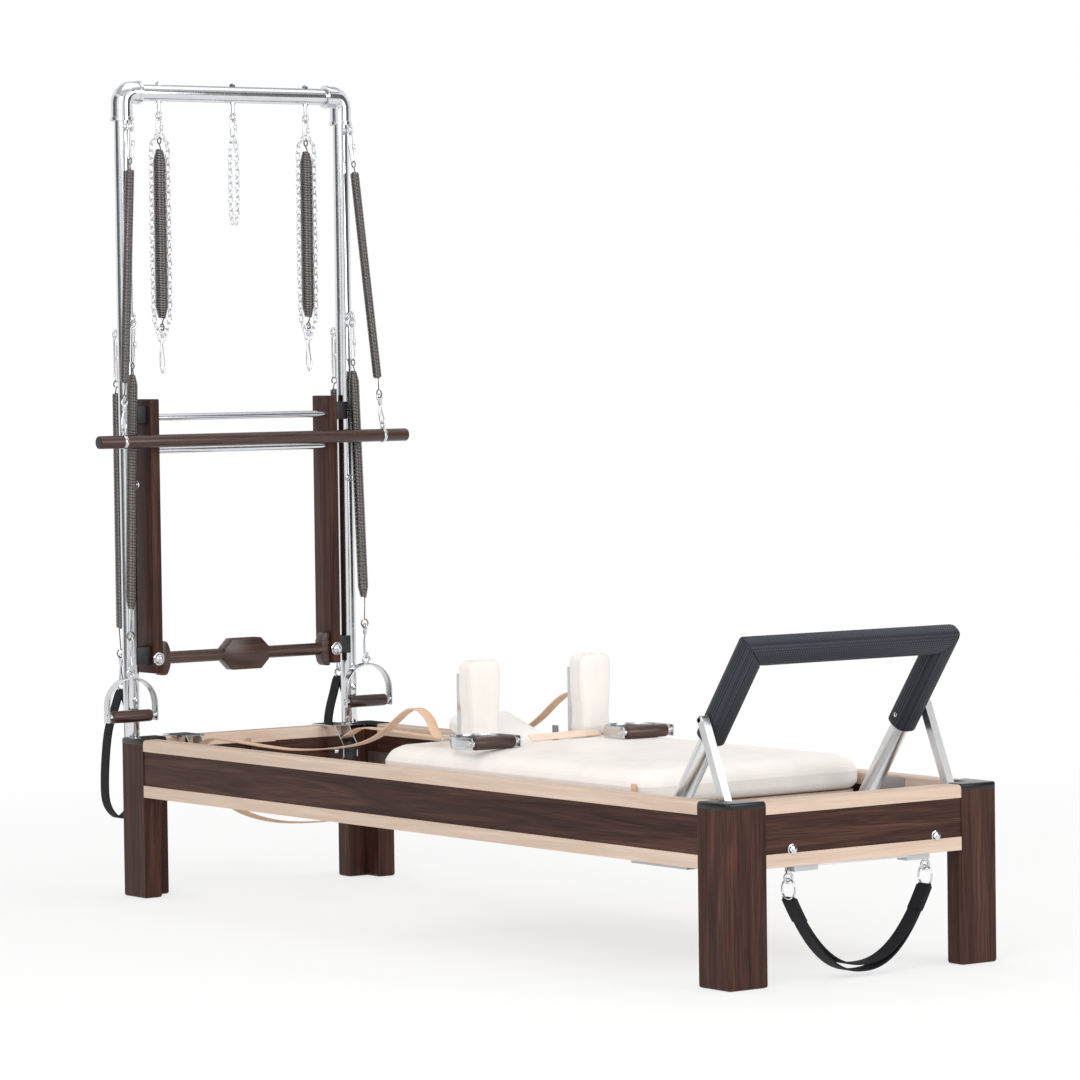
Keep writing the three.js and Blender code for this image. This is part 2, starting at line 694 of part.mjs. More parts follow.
function addHeadrest() {
  const { length, half, thick, corner, crown } = head;
  const outline = roundedOutline(length / 2, half, corner, 2);
  const bottom = head.up - headPinUp;
  const top = bottom + thick;
  const levels = [[crown, bottom], [0, bottom + crown], [0, top - 2 * crown], [crown / 2, top - crown],
    [1.5 * crown, top - crown / 3], [5 * crown, top]];
  const placed = new THREE.Matrix4().makeTranslation(-length / 2 - ear.half, 0, 0);
  const pinEnd = half + ear.clear + ear.thick;
  const pin = rodAcross(0, 0, -pinEnd, pinEnd, ear.pin, smallCount);
  const parts = [pillow(outline, length / 2, half, levels, placed), pin];
  for (const [, side] of sides) {
    const outer = half - corner;
    const inner = outer - ear.leaf;
    parts.push(box(-corner - ear.half, ear.pin, side * outer, side * inner, bottom + bite, ear.pin));
  }
  const tilt = new THREE.Quaternion().setFromAxisAngle(axisY, radians(head.tilt));
  addPiece('headrest', join(parts), vinyl, vec(head.hinge, 0, headPinUp), tilt);
}

// Upright outline of a shoulder rest, narrower a little above its foot
function restOutline() {
  const { wide, height, waist, corner } = rest;
  const straight = height - 2 * corner;
  const corners = roundedOutline(height / 2, wide / 2, corner, 2);
  const quarter = corners.length / 4;
  const farEdge = restEdgeShares.map((share) => [-share * straight, wide / 2]);
  const nearEdge = restEdgeShares.map((share) => [share * straight, -wide / 2]);
  const first = corners.slice(0, quarter);
  const middle = corners.slice(quarter, 3 * quarter);
  const outline = [...first, ...farEdge, ...middle, ...nearEdge, ...corners.slice(3 * quarter)];
  const drawn = (a) => Math.exp(-(((a / height + waistPlaceShare) / waistSpreadShare) ** 2));
  return outline.map(([a, b]) => [a, b * (1 - drawn(a) * waist / (wide / 2))]);
}

function addShoulderRests() {
  const { front, thick, wide, middle, height, crown } = rest;
  const levels = [[crown / 3, 0], [0, crown], [0, thick - 1.6 * crown], [crown / 3, thick - crown / 2],
    [3 * crown, thick]];
  const upright = new THREE.Matrix4().makeBasis(axisZ, axisY.clone().negate(), axisX);
  const bottom = carriage.top + gap;
  for (const [name, side] of sides) {
    const pad = pillow(restOutline(), height / 2, wide / 2, levels, upright);
    addPiece(`shoulder_rest_${name}`, pad, vinyl, vec(front - thick, side * middle, bottom + height / 2));
    addPiece(`shoulder_bracket_${name}`, bracketSolid(side * middle, bottom), chrome);
  }
}

function bracketSolid(y, bottom) {
  const { wide, deep, wall, height, tongue } = plate;
  const x1 = rest.front - rest.thick - gap;
  const x0 = x1 - deep;
  const top = bottom + height;
  const tray = box(x0, x1, y - wide / 2, y + wide / 2, bottom, top);
  const inside = wide / 2 - wall;
  const hollow = box(x0 - overrun, x1 - wall, y - inside, y + inside, bottom - overrun, top - wall);
  const foot = box(x1 - wall, x1, y - tongue / 2, y + tongue / 2, carriage.bottom + gap, bottom + bite);
  return tray.subtract(hollow).add(foot);
}

function addBedSprings() {
  const { radius, wire, shank, knob, knobLength, up } = bedSpring;
  const tail = carriageBar.at - carriageBar.thick;
  const front = springBarFace() + springBar.thick;
  springPlaces().forEach((y, i) => {
    const bodyStart = carriageBar.at + shank;
    const bodyEnd = springBarFace() - shank;
    const at = (x) => vec(x, y, up);
    const solid = join([
      rod(at(bodyStart), at(bodyEnd), radius, smallCount),
      rod(at(tail - gap - knobLength), at(bodyStart + bite), wire, wireCount),
      rod(at(bodyEnd - bite), at(front + gap + knobLength), wire, wireCount),
      rod(at(tail - gap - knobLength), at(tail - gap), knob, wireCount),
      rod(at(front + gap), at(front + gap + knobLength), knob, wireCount),
    ]);
    addPiece(`carriage_spring_${i + 1}`, solid, springSteel);
  });
}

// Foot bar
function barPath() {
  const { half, reach, bend, tail: below } = bar;
  const points = [vec(0, -half, -below)];
  for (const [, side] of sides) {
    for (let i = 0; i <= bendSteps; i++) {
      const share = side < 0 ? i / bendSteps : 1 - i / bendSteps;
      const angle = share * Math.PI / 2;
      const y = half - bend + bend * Math.cos(angle);
      points.push(vec(0, side * y, reach - bend + bend * Math.sin(angle)));
    }
  }
  points.push(vec(0, half, -below));
  return points;
}

function addFootBar() {
  const turn = new THREE.Quaternion().setFromAxisAngle(axisY, radians(90 - bar.lean));
  const place = vec(bar.pivot, 0, bar.up);
  const outer = bar.half + bar.radius + overrun;
  const inner = bar.half - bar.radius - overrun;
  const pinEnd = brace.inner + brace.wide + bracePin.head;
  const bore = barPin.radius + barPin.clear;
  const parts = [sweep(barPath(), roundSection(bar.radius, roundCount), axisX)];
  const holes = [];
  for (const [, side] of sides) {
    parts.push(rodAcross(0, brace.at, side * bar.half, side * pinEnd, bracePin.radius, smallCount));
    holes.push(rodAcross(0, 0, side * inner, side * outer, bore));
  }
  addPiece('foot_bar', join(parts).subtract(join(holes)), aluminium, place, turn);
  addPiece('foot_bar_pad', barPadSolid(), blackRubber, place, turn);
}

function barPadSolid() {
  const { wide, start, ease } = barPad;
  const outline = roundedOutline(wide / 2, wide / 2, ease, 2);
  const outer = bar.half + wide / 2;
  const parts = [prism(shifted(outline, 0, bar.reach), axisX, axisZ, -outer, outer)];
  const cutters = [sweep(barPath(), roundSection(bar.radius + gap, roundCount), axisX)];
  const pinHole = bracePin.radius + bracePin.clear;
  for (const [, side] of sides) {
    parts.push(prism(shifted(outline, 0, side * bar.half), axisX, axisY, start, bar.reach));
    cutters.push(rodAcross(0, brace.at, side * bar.half, side * (outer + overrun), pinHole, smallCount));
  }
  return join(parts).subtract(join(cutters));
}

// Channel with a side notch at its foot that drops over the pin on the leg
function braceSolid(side) {
  const { inner, wide, wall, deep, reach, tail: below } = brace;
  const y0 = side * inner;
  const y1 = side * (inner + wide);
  const half = deep / 2;
  const foot = -reach - below;
  const outline = roundedOutline((half - foot) / 2, half, half - bite, 2);
  const channel = prism(shifted(outline, (half + foot) / 2, 0), axisZ, axisX, y0, y1);
  const clear = bracePin.radius + bracePin.clear;
  const inside0 = y0 + side * wall;
  const inside1 = y1 - side * wall;
  const past0 = y0 - side * overrun;
  const past1 = y1 + side * overrun;
  const cutters = [
    box(-half - overrun, half - wall, inside0, inside1, foot - overrun, half + overrun),
    box(-half - overrun, half + overrun, inside0, inside1, foot - overrun, bracePin.webCut - reach),
    rodAcross(0, 0, past0, past1, clear, smallCount),
    rodAcross(0, -reach, past0, past1, clear, smallCount),
    box(0, half + overrun, past0, past1, -reach - clear, -reach + clear),
  ];
  return channel.subtract(join(cutters));
}

function addBraces() {
  const lean = radians(bar.lean);
  const place = vec(bar.pivot + brace.at * Math.cos(lean), 0, bar.up + brace.at * Math.sin(lean));
  const turn = new THREE.Quaternion().setFromAxisAngle(axisY, -radians(brace.lean));
  for (const [name, side] of sides) {
    addPiece(`foot_bar_brace_${name}`, braceSolid(side), aluminium, place, turn);
  }
}

// Tower. A second ring hangs in the arm spring's eye, so that the spring can swing outwards
function armRingUp() {
  return armEye.up - 2 * eye.ring + 2 * eye.wire - bite;
}

function postSolid(side) {
  const front = pipe.radius - bite;
  const eyeAt = (x, z) => eyeBolt(vec(front, 0, z), axisX, axisY, x + tower.back - front - eye.ring);
  const backReach = legEye.at - tower.back - front - eye.ring;
  const parts = [
    rod(zero, vec(0, 0, tower.top - elbow.drop + elbow.bore - gap), pipe.radius),
    eyeAt(rollEye.at, rollEye.up),
    eyeAt(armEye.at, armEye.up),
    ring(vec(tower.back + armEye.at, 0, armRingUp()), axisX, eye.ring, eye.wire),
    eyeBolt(vec(-front, 0, legEye.up), vec(-1, 0, 0), axisY, backReach),
    eyeBolt(vec(front - bite, -side * sideEye.inward, sideEye.up), axisX, axisY, sideEye.out, sideEye.ring),
  ];
  for (const z of postBoltHeights) {
    parts.push(dome(postBolt.head, postBolt.rise, vec(-front, 0, z), vec(-1, 0, 0)));
    const facing = z > bed.height ? front + postBolt.rise : tower.back - gap;
    parts.push(rod(vec(0, 0, z), vec(facing, 0, z), postBolt.radius, wireCount));
  }
  return join(parts);
}

function addPosts() {
  for (const [name, side] of sides) {
    addPiece(`post_${name}`, postSolid(side), chrome, vec(-tower.back, side * tower.half, 0));
  }
}

function elbowSolid(side) {
  const { radius, lip, lipLength, drop, across, turn } = elbow;
  const y = side * tower.half;
  const points = [vec(0, y, bite - drop)];
  for (let i = 0; i <= bendSteps; i++) {
    const angle = (i / bendSteps) * Math.PI / 2;
    points.push(vec(0, y - side * turn * (1 - Math.cos(angle)), turn * (Math.sin(angle) - 1)));
  }
  points.push(vec(0, y - side * (across - bite), 0));
  const lipStart = vec(0, y - side * (across - lipLength), 0);
  const lipEnd = vec(0, y - side * across, 0);
  return join([
    sweep(points, roundSection(radius, roundCount), axisX),
    sweep([vec(0, y, -drop), vec(0, y, lipLength - drop)], roundSection(lip, roundCount), axisX),
    sweep([lipStart, lipEnd], roundSection(lip, roundCount), axisX),
  ]);
}

function topEyeUp() {
  return tower.top - topEye.drop;
}

function addTopBar() {
  const middle = tower.half - elbow.across / 2;
  const parts = [rodAcross(0, 0, -middle, middle, pipe.radius)];
  const boreFoot = -elbow.drop - overrun;
  const boreTop = elbow.bore - elbow.drop;
  const bores = [];
  const eyeReach = topEye.drop - pipe.radius + bite - eye.ring;
  for (const [, side] of sides) {
    const y = side * tower.half;
    parts.push(elbowSolid(side));
    bores.push(rod(vec(0, y, boreFoot), vec(0, y, boreTop), pipe.radius + gap));
  }
  for (const y of [-topEye.half, 0, topEye.half]) {
    const nutTop = pipe.radius + eye.nutHeight;
    parts.push(rod(vec(0, y, pipe.radius - bite), vec(0, y, nutTop), eye.nut, wireCount));
    parts.push(eyeBolt(vec(0, y, bite - pipe.radius), down, axisY, eyeReach));
  }
  addPiece('top_bar', join(parts).subtract(join(bores)), chrome, vec(-tower.back, 0, tower.top));
}

// Sliding frame
function columnSolid(side) {
  const { low, high, back, front, inner, thick, ease } = slider;
  const middle = side * (inner + thick / 2);
  const section = roundedOutline((front + back) / 2, thick / 2, ease, 1);
  const outline = shifted(section, (front - back) / 2, middle);
  const parts = [prism(outline, axisX, axisY, low, high)];
  for (const z of shoeHeights) {
    const root = side * (inner + thick - bite);
    parts.push(box(-shoe.back, -shoe.front, root, side * shoe.reach, z, z + shoe.height));
  }
  const washerEnd = front + sliderBolt.washerRise;
  const at = (x) => vec(x, middle, footRest.up);
  parts.push(rod(at(front - bite), at(washerEnd), sliderBolt.washer));
  parts.push(dome(sliderBolt.radius, sliderBolt.rise, at(washerEnd), axisX));
  const postLine = (z) => vec(-tower.back, side * tower.half, z);
  return join(parts).subtract(rod(postLine(low), postLine(high), pipe.radius + gap));
}

function footRestSolid() {
  const { radius, wide, tall, deep, shoulder } = footRest;
  const half = slider.inner - gap;
  const w = wide / 2;
  const t = tall / 2;
  const flat = w - 1.6 * shoulder;
  const edge = w - shoulder / 2;
  const right = [[flat, t], [edge, t - shoulder], [w, radius]];
  const upper = [...right.map(([a, b]) => [-a, b]).reverse(), ...right];
  const lower = upper.map(([a, b]) => [a, -b]).reverse();
  const parts = [
    rodAcross(0, 0, -half, half, radius),
    prism([...upper, ...lower], axisY, axisZ, -deep / 2, deep / 2),
  ];
  for (const [, side] of sides) {
    const y = (inward) => side * (half - inward);
    const tip = footEnd.tall / 2;
    const high = [[y(0), tip], [y(footEnd.wide / 2), tip], [y(footEnd.wide), footEnd.neck / 2]];
    const low = high.map(([a, b]) => [a, -b]).reverse();
    parts.push(prism([...high, ...low], axisY, axisZ, -deep / 2, deep / 2));
  }
  return join(parts);
}

function addSlider() {
  const half = slider.inner - gap;
  for (const [name, side] of sides) {
    addPiece(`slide_column_${name}`, columnSolid(side), walnut);
  }
  crossRodHeights.forEach((z, i) => {
    const name = `slide_cross_rod_${i ? 'lower' : 'upper'}`;
    addPiece(name, rodAcross(0, 0, -half, half, crossRod.radius), chrome, vec(crossRod.at, 0, z));
  });
  addPiece('slide_foot_rest', footRestSolid(), walnut, vec(footRest.at, 0, footRest.up));
}

// Roll-down bar with its springs
function rollRingRise() {
  return rollBar.radius + rollBar.band + rollRing.radius + rollRing.wire - bite;
}

function addRollBar() {
  const ringUp = rollBar.up + rollRingRise();
  for (const [name, side] of sides) {
    const from = vec(rollEye.at, side * tower.half, seatIn(rollEye.up));
    const to = vec(rollBar.at, side * rollBar.grip, seatOver(ringUp, rollRing.radius - rollRing.wire));
    const solid = springAssembly(rollSpring, from.distanceTo(to), axisY, axisY);
    addPiece(`roll_bar_spring_${name}`, solid, springSteel, from, aim(from, to));
  }
  const { length, radius, grip, band, bandWide } = rollBar;
  const parts = [rodAcross(0, 0, -length / 2, length / 2, radius)];
  for (const [, side] of sides) {
    const y = side * grip;
    parts.push(rodAcross(0, 0, y - bandWide / 2, y + bandWide / 2, radius + band));
    parts.push(ring(vec(0, y, rollRingRise()), axisY, rollRing.radius, rollRing.wire));
  }
  addPiece('roll_down_bar', join(parts), walnut, vec(rollBar.at, 0, rollBar.up));
}

// Arm springs with their handles
function addArmSprings() {
  for (const [name, side] of sides) {
    const from = vec(armEye.at, side * tower.half, seatIn(armRingUp()));
    const eyePlace = vec(armHandle.at, side * armHandle.lean, armHandle.up);
    const to = eyePlace.clone().setZ(seatOver(armHandle.up));
    const solid = springAssembly(armSpring, from.distanceTo(to), axisX, axisX);
    addPiece(`arm_spring_${name}`, solid, springSteel, from, aim(from, to));
    addPiece(`arm_handle_${name}`, handleSolid(handle.reach), chrome, eyePlace);
  }
}

// Bent flat band with a turned grip across its mouth, hanging from its eye
function handleSolid(reach) {
  const { half, bandWide, bandThick, grip, gripHalf, pin, lug } = handle;
  const archUp = -half - eye.ring;
  const steps = 6;
  const arch = Array.from({ length: steps + 1 }, (_, i) => {
    const angle = Math.PI - (i / steps) * Math.PI;
    return vec(0, half * Math.cos(angle), archUp + half * Math.sin(angle));
  });
  const foot = -reach - bandWide / 2;
  const path = [vec(0, -half, foot), ...arch, vec(0, half, foot)];
  const lugEnd = half + bandThick / 2 + overrun;
  return join([
    sweep(path, flatSection(bandWide, bandThick), axisX),
    rodAcross(0, -reach, -half, half, pin, smallCount),
    rodAcross(0, -reach, -gripHalf, gripHalf, grip),
    rodAcross(0, -reach, -lugEnd, -half, lug / 2, wireCount),
    rodAcross(0, -reach, half, lugEnd, lug / 2, wireCount),
    ring(zero, axisX, eye.ring, eye.wire),
  ]);
}

// Leg springs with their webbing loops
function addLegSprings() {
  const ringUp = webbing.top + eye.ring;
  for (const [name, side] of sides) {
    const from = vec(-legEye.at, side * tower.half, seatIn(legEye.up));
    const total = from.z - seatOver(ringUp);
    addPiece(`leg_spring_${name}`, springAssembly(legSpring, total, axisY, axisX), springSteel, from);
    const loopPlace = vec(-legEye.at, side * tower.half, ringUp);
    addPiece(`leg_loop_${name}`, webbingLoop(side), blackRubber, loopPlace);
  }
}

function webbingLoop(side) {
  const { wide, thick, top, bottom, half, waistUp } = webbing;
  const tall = top - bottom;
  const waistShare = (waistUp - bottom) / tall;
  const upperShares = [[0, 1], [0.4, 0.87], [0.85, (1 + waistShare) / 2]];
  const rightShares = [...upperShares, [1, waistShare], [0.8, waistShare / 3], [0, 0]];
  const leftShares = rightShares.slice(1, -1).reverse().map(([a, b]) => [-a, b]);
  const keys = [...rightShares, ...leftShares].map(([a, b]) => {
    const outward = side * (1 - b) * half / 4;
    return vec(0, a * half + outward, (b - 1) * tall - eye.ring);
  });
  const points = new THREE.CatmullRomCurve3(keys, true).getPoints(webbing.steps).slice(0, -1);
  return sweep(points, flatSection(wide, thick), axisX, true).add(ring(zero, axisX, eye.ring, eye.wire));
}

// Springs and chain under the top bar
function addHangingSprings() {
  const up = seatIn(topEyeUp());
  for (const [name, side] of sides) {
    const from = vec(-tower.back, side * topEye.half, up);
    const parts = [springAssembly(hangSpring, up - hangingEnd, axisY, axisY)];
    for (const [, out] of sides) {
      parts.push(sweep(safetyPath(out), roundSection(safety.wire, coilSides), axisX));
    }
    addPiece(`hanging_spring_${name}`, join(parts), springSteel, from);
  }
}

// The chain beside a spring, from the links above it to the links below it
function safetyPath(out) {
  const { start, end, side } = safety;
  const y = out * safety.out;
  return [vec(0, 0, -start), vec(0, y * 0.7, -start - side), vec(0, y, -start - 3 * side),
    vec(0, y, -end + 3 * side), vec(0, y * 0.7, -end + side), vec(0, 0, -end)];
}

function addCentreChain() {
  const { length, width, wire, steps, sides: corners } = chainLink;
  const from = vec(-tower.back, 0, seatIn(topEyeUp()));
  const pitch = length - 4 * wire + bite;
  const parts = [linkLoop(zero, down, axisY, hardware.width, length, hardware.wire)];
  for (const [, side] of sides) {
    const lean = vec(0, side * centreChain.leanShare, -1).normalize();
    const top = vec(0, side * centreChain.spread / 2, 3 * hardware.wire + wire - bite - length);
    for (let i = 0; i < centreChain.links; i++) {
      const at = top.clone().addScaledVector(lean, i * pitch);
      parts.push(linkLoop(at, lean, i % 2 ? axisY : axisX, width, length, wire, steps, corners));
    }
  }
  addPiece('centre_chain', join(parts), chrome, from);
}

// Pulleys and risers
function addPulleys() {
  const { width, lip, radius, flange, axle, end } = pulley;
  const half = width / 2;
  const lower = [[0, -half], [flange, -half], [flange, lip - half], [radius, lip - half]];
  const profile = [...lower, ...lower.map(([r, h]) => [r, -h]).reverse()];
  const axleHalf = half + cheek.clear + cheek.thick + end;
  for (const [name, side] of sides) {
    const solid = turned(profile, zero, axisY).add(rodAcross(0, 0, -axleHalf, axleHalf, axle, smallCount));
    addPiece(`pulley_${name}`, solid, blackPlastic, vec(pulley.at, side * pulley.half, pulley.up));
    addPiece(`riser_${name}`, riserSolid(), chrome, vec(0, side * pulley.half, 0));
  }
}

function riserSolid() {
  const { start, end, half, thick, front, low, rear } = riser;
  const top = bed.height + gap;
  const inner = pulley.width / 2 + cheek.clear;
  const { at, up } = pulley;
  const outline = [[at - rear, top + thick], [end, top + thick], [at + front, up + front / 2],
    [at + front, up - low / 2], [at + front / 2, up - low], [at - front / 2, up - low], [at - rear, up]];
  const parts = [box(start, end, -half, half, top, top + thick)];
  for (const [, side] of sides) {
    parts.push(prism(outline, axisX, axisZ, side * inner, side * (inner + cheek.thick)));
  }
  return join(parts).subtract(rodAcross(at, up, -half, half, pulley.axle + cheek.slack, smallCount));
}

// Routes of the straps: from under the carriage to the pulley, and from there over the carriage
const lowerRoute = [
  [1020, 225, 312.4], [985, 226, 312.4], [960, 228, 303], [900, 232, 264], [760, 240, 226],
  [600, 246, 206], [466, 246, 201], [330, 236, 212], [210, 216, 240], [150, 208, 262],
];
const nearRoute = [
  [126, 208, 350], [160, 208, 363], [195, 209, 368], [260, 211, 367], [350, 213, 364],
  [430, 214, 362], [510, 216, 362], [600, 220, 367], [700, 224, 377], [790, 228, 390],
  [850, 230, 405], [900, 231, 424], [945, 232, 449], [985, 232, 472], [1016, 232, 482],
  [1046, 232, 479], [1074, 232, 462], [1090, 232, 440], [1104, 232, 426], [1122, 232, 424],
];
const farRoute = [
  [126, 208, 350], [160, 208, 363], [195, 208, 368], [260, 206, 368], [350, 205, 366],
  [430, 205, 364], [510, 206, 363], [600, 208, 366], [700, 210, 375], [790, 212, 390],
  [840, 213, 410], [880, 214, 432], [925, 214, 462], [965, 214, 484], [1000, 213, 492],
  [1036, 210, 486], [1066, 205, 466], [1086, 204, 444], [1102, 204, 429], [1122, 203, 424],
];

function strapWrap() {
  const stepTurn = radians(strap.wrapTurn) / strap.wrapSteps;
  const reach = (pulley.radius + gap) / Math.cos(stepTurn / 2) + strap.thick / 2;
  return Array.from({ length: strap.wrapSteps + 1 }, (_, i) => {
    const angle = radians(strap.wrapStart) + i * stepTurn;
    return [pulley.at + reach * Math.cos(angle), pulley.half, pulley.up + reach * Math.sin(angle)];
  });
}

function addStraps() {
  const upper = { near: nearRoute, far: farRoute };
  for (const [name, side] of sides) {
    const keys = [...lowerRoute, ...strapWrap(), ...upper[name]];
    const path = keys.map(([x, y, z]) => vec(x, side * y, z));
    const end = path[path.length - 1];
    const seat = strapSeat(name);
    const toStrap = end.clone().sub(seat).normalize();
    const length = seat.distanceTo(end) + 3 * hardware.wire;
    const link = linkLoop(seat, toStrap, axisZ, hardware.width, length, hardware.wire);
    const leatherBand = sweep(path, flatSection(strap.wide, strap.thick), axisY);
    addPiece(`leather_strap_${name}`, leatherBand.add(link), leather);
  }
  const { wide, thick, nearX, nearY, farX, farY } = looseStrip;
  const outline = [[nearX, nearY], [nearX + wide, nearY], [farX + wide / 2, farY], [farX, farY - wide]];
  const low = carriage.top + gap;
  addPiece('leather_strip', prism(outline, axisX, axisY, low, low + thick), leather);
}

function lyingEye(name) {
  const { reach, x, y, turn } = lying[name];
  const away = vec(-reach, 0, 0).applyAxisAngle(axisZ, radians(turn));
  return vec(x, y, carriage.top + gap + handle.grip).add(away);
}

// The strap's last link lies in the handle's eye, on the side that faces the strap
function strapSeat(name) {
  const reach = vec(2 * gap + hardware.wire - eyeHole, 0, 0);
  return lyingEye(name).add(reach.applyAxisAngle(axisZ, radians(lying[name].turn)));
}

function addStrapHandles() {
  for (const [name] of sides) {
    const flat = new THREE.Quaternion().setFromAxisAngle(axisY, -Math.PI / 2);
    const spin = new THREE.Quaternion().setFromAxisAngle(axisZ, radians(lying[name].turn));
    const solid = handleSolid(lying[name].reach);
    addPiece(`strap_handle_${name}`, solid, chrome, lyingEye(name), spin.multiply(flat));
  }
}

// Webbing belt under the foot end, in two plies that share their end rings
function addBelt() {
  const eyeUp = railBottom + bite - footPad.thick - beltRing.shank - eye.ring;
  const top = eyeUp - eyeHole + gap + beltRing.wire;
  const low = top - beltRing.length + 2 * beltRing.wire;
  const depth = low - belt.bottom - belt.thick / 2;
  const parts = [];
  for (const sag of [depth, depth - belt.ply]) {
    const points = Array.from({ length: belt.steps + 1 }, (_, i) => {
      const share = (i / belt.steps) * 2 - 1;
      return vec(0, share * belt.half, low - sag * (1 - Math.abs(share) ** beltSagShare));
    });
    parts.push(sweep(points, flatSection(belt.wide, belt.thick), axisX));
  }
  for (const [, side] of sides) {
    const place = vec(0, side * belt.half, top);
    parts.push(linkLoop(place, down, axisX, beltRing.width, beltRing.length, beltRing.wire, 8));
  }
  addPiece('foot_belt', join(parts), blackRubber, vec(beltEyeX(), 0, 0));
}

addLegs();
addRails();
addTracks();
addSpringBar();
addPlatform();
addCushion();
addWheelsets();
addHeadrest();
addShoulderRests();
addBedSprings();
addFootBar();
addBraces();
addPosts();
addTopBar();
addSlider();
addRollBar();
addArmSprings();
addLegSprings();
addHangingSprings();
addCentreChain();
addPulleys();
addStraps();
addStrapHandles();
addBelt();
console.log(`least gap of a spring's wire to itself: ${Math.min(...coilGaps).toFixed(2)} mm`);

// The origin goes to the middle of the whole machine's footprint, on the floor
const bounds = new THREE.Box3().setFromObject(machine, true);
const centre = bounds.getCenter(new THREE.Vector3());
machine.position.set(-centre.x, -centre.y, -bounds.min.z);

export default machine;
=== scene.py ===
"""Looks of the reformer with its tower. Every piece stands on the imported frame, in metres."""
import json
import math

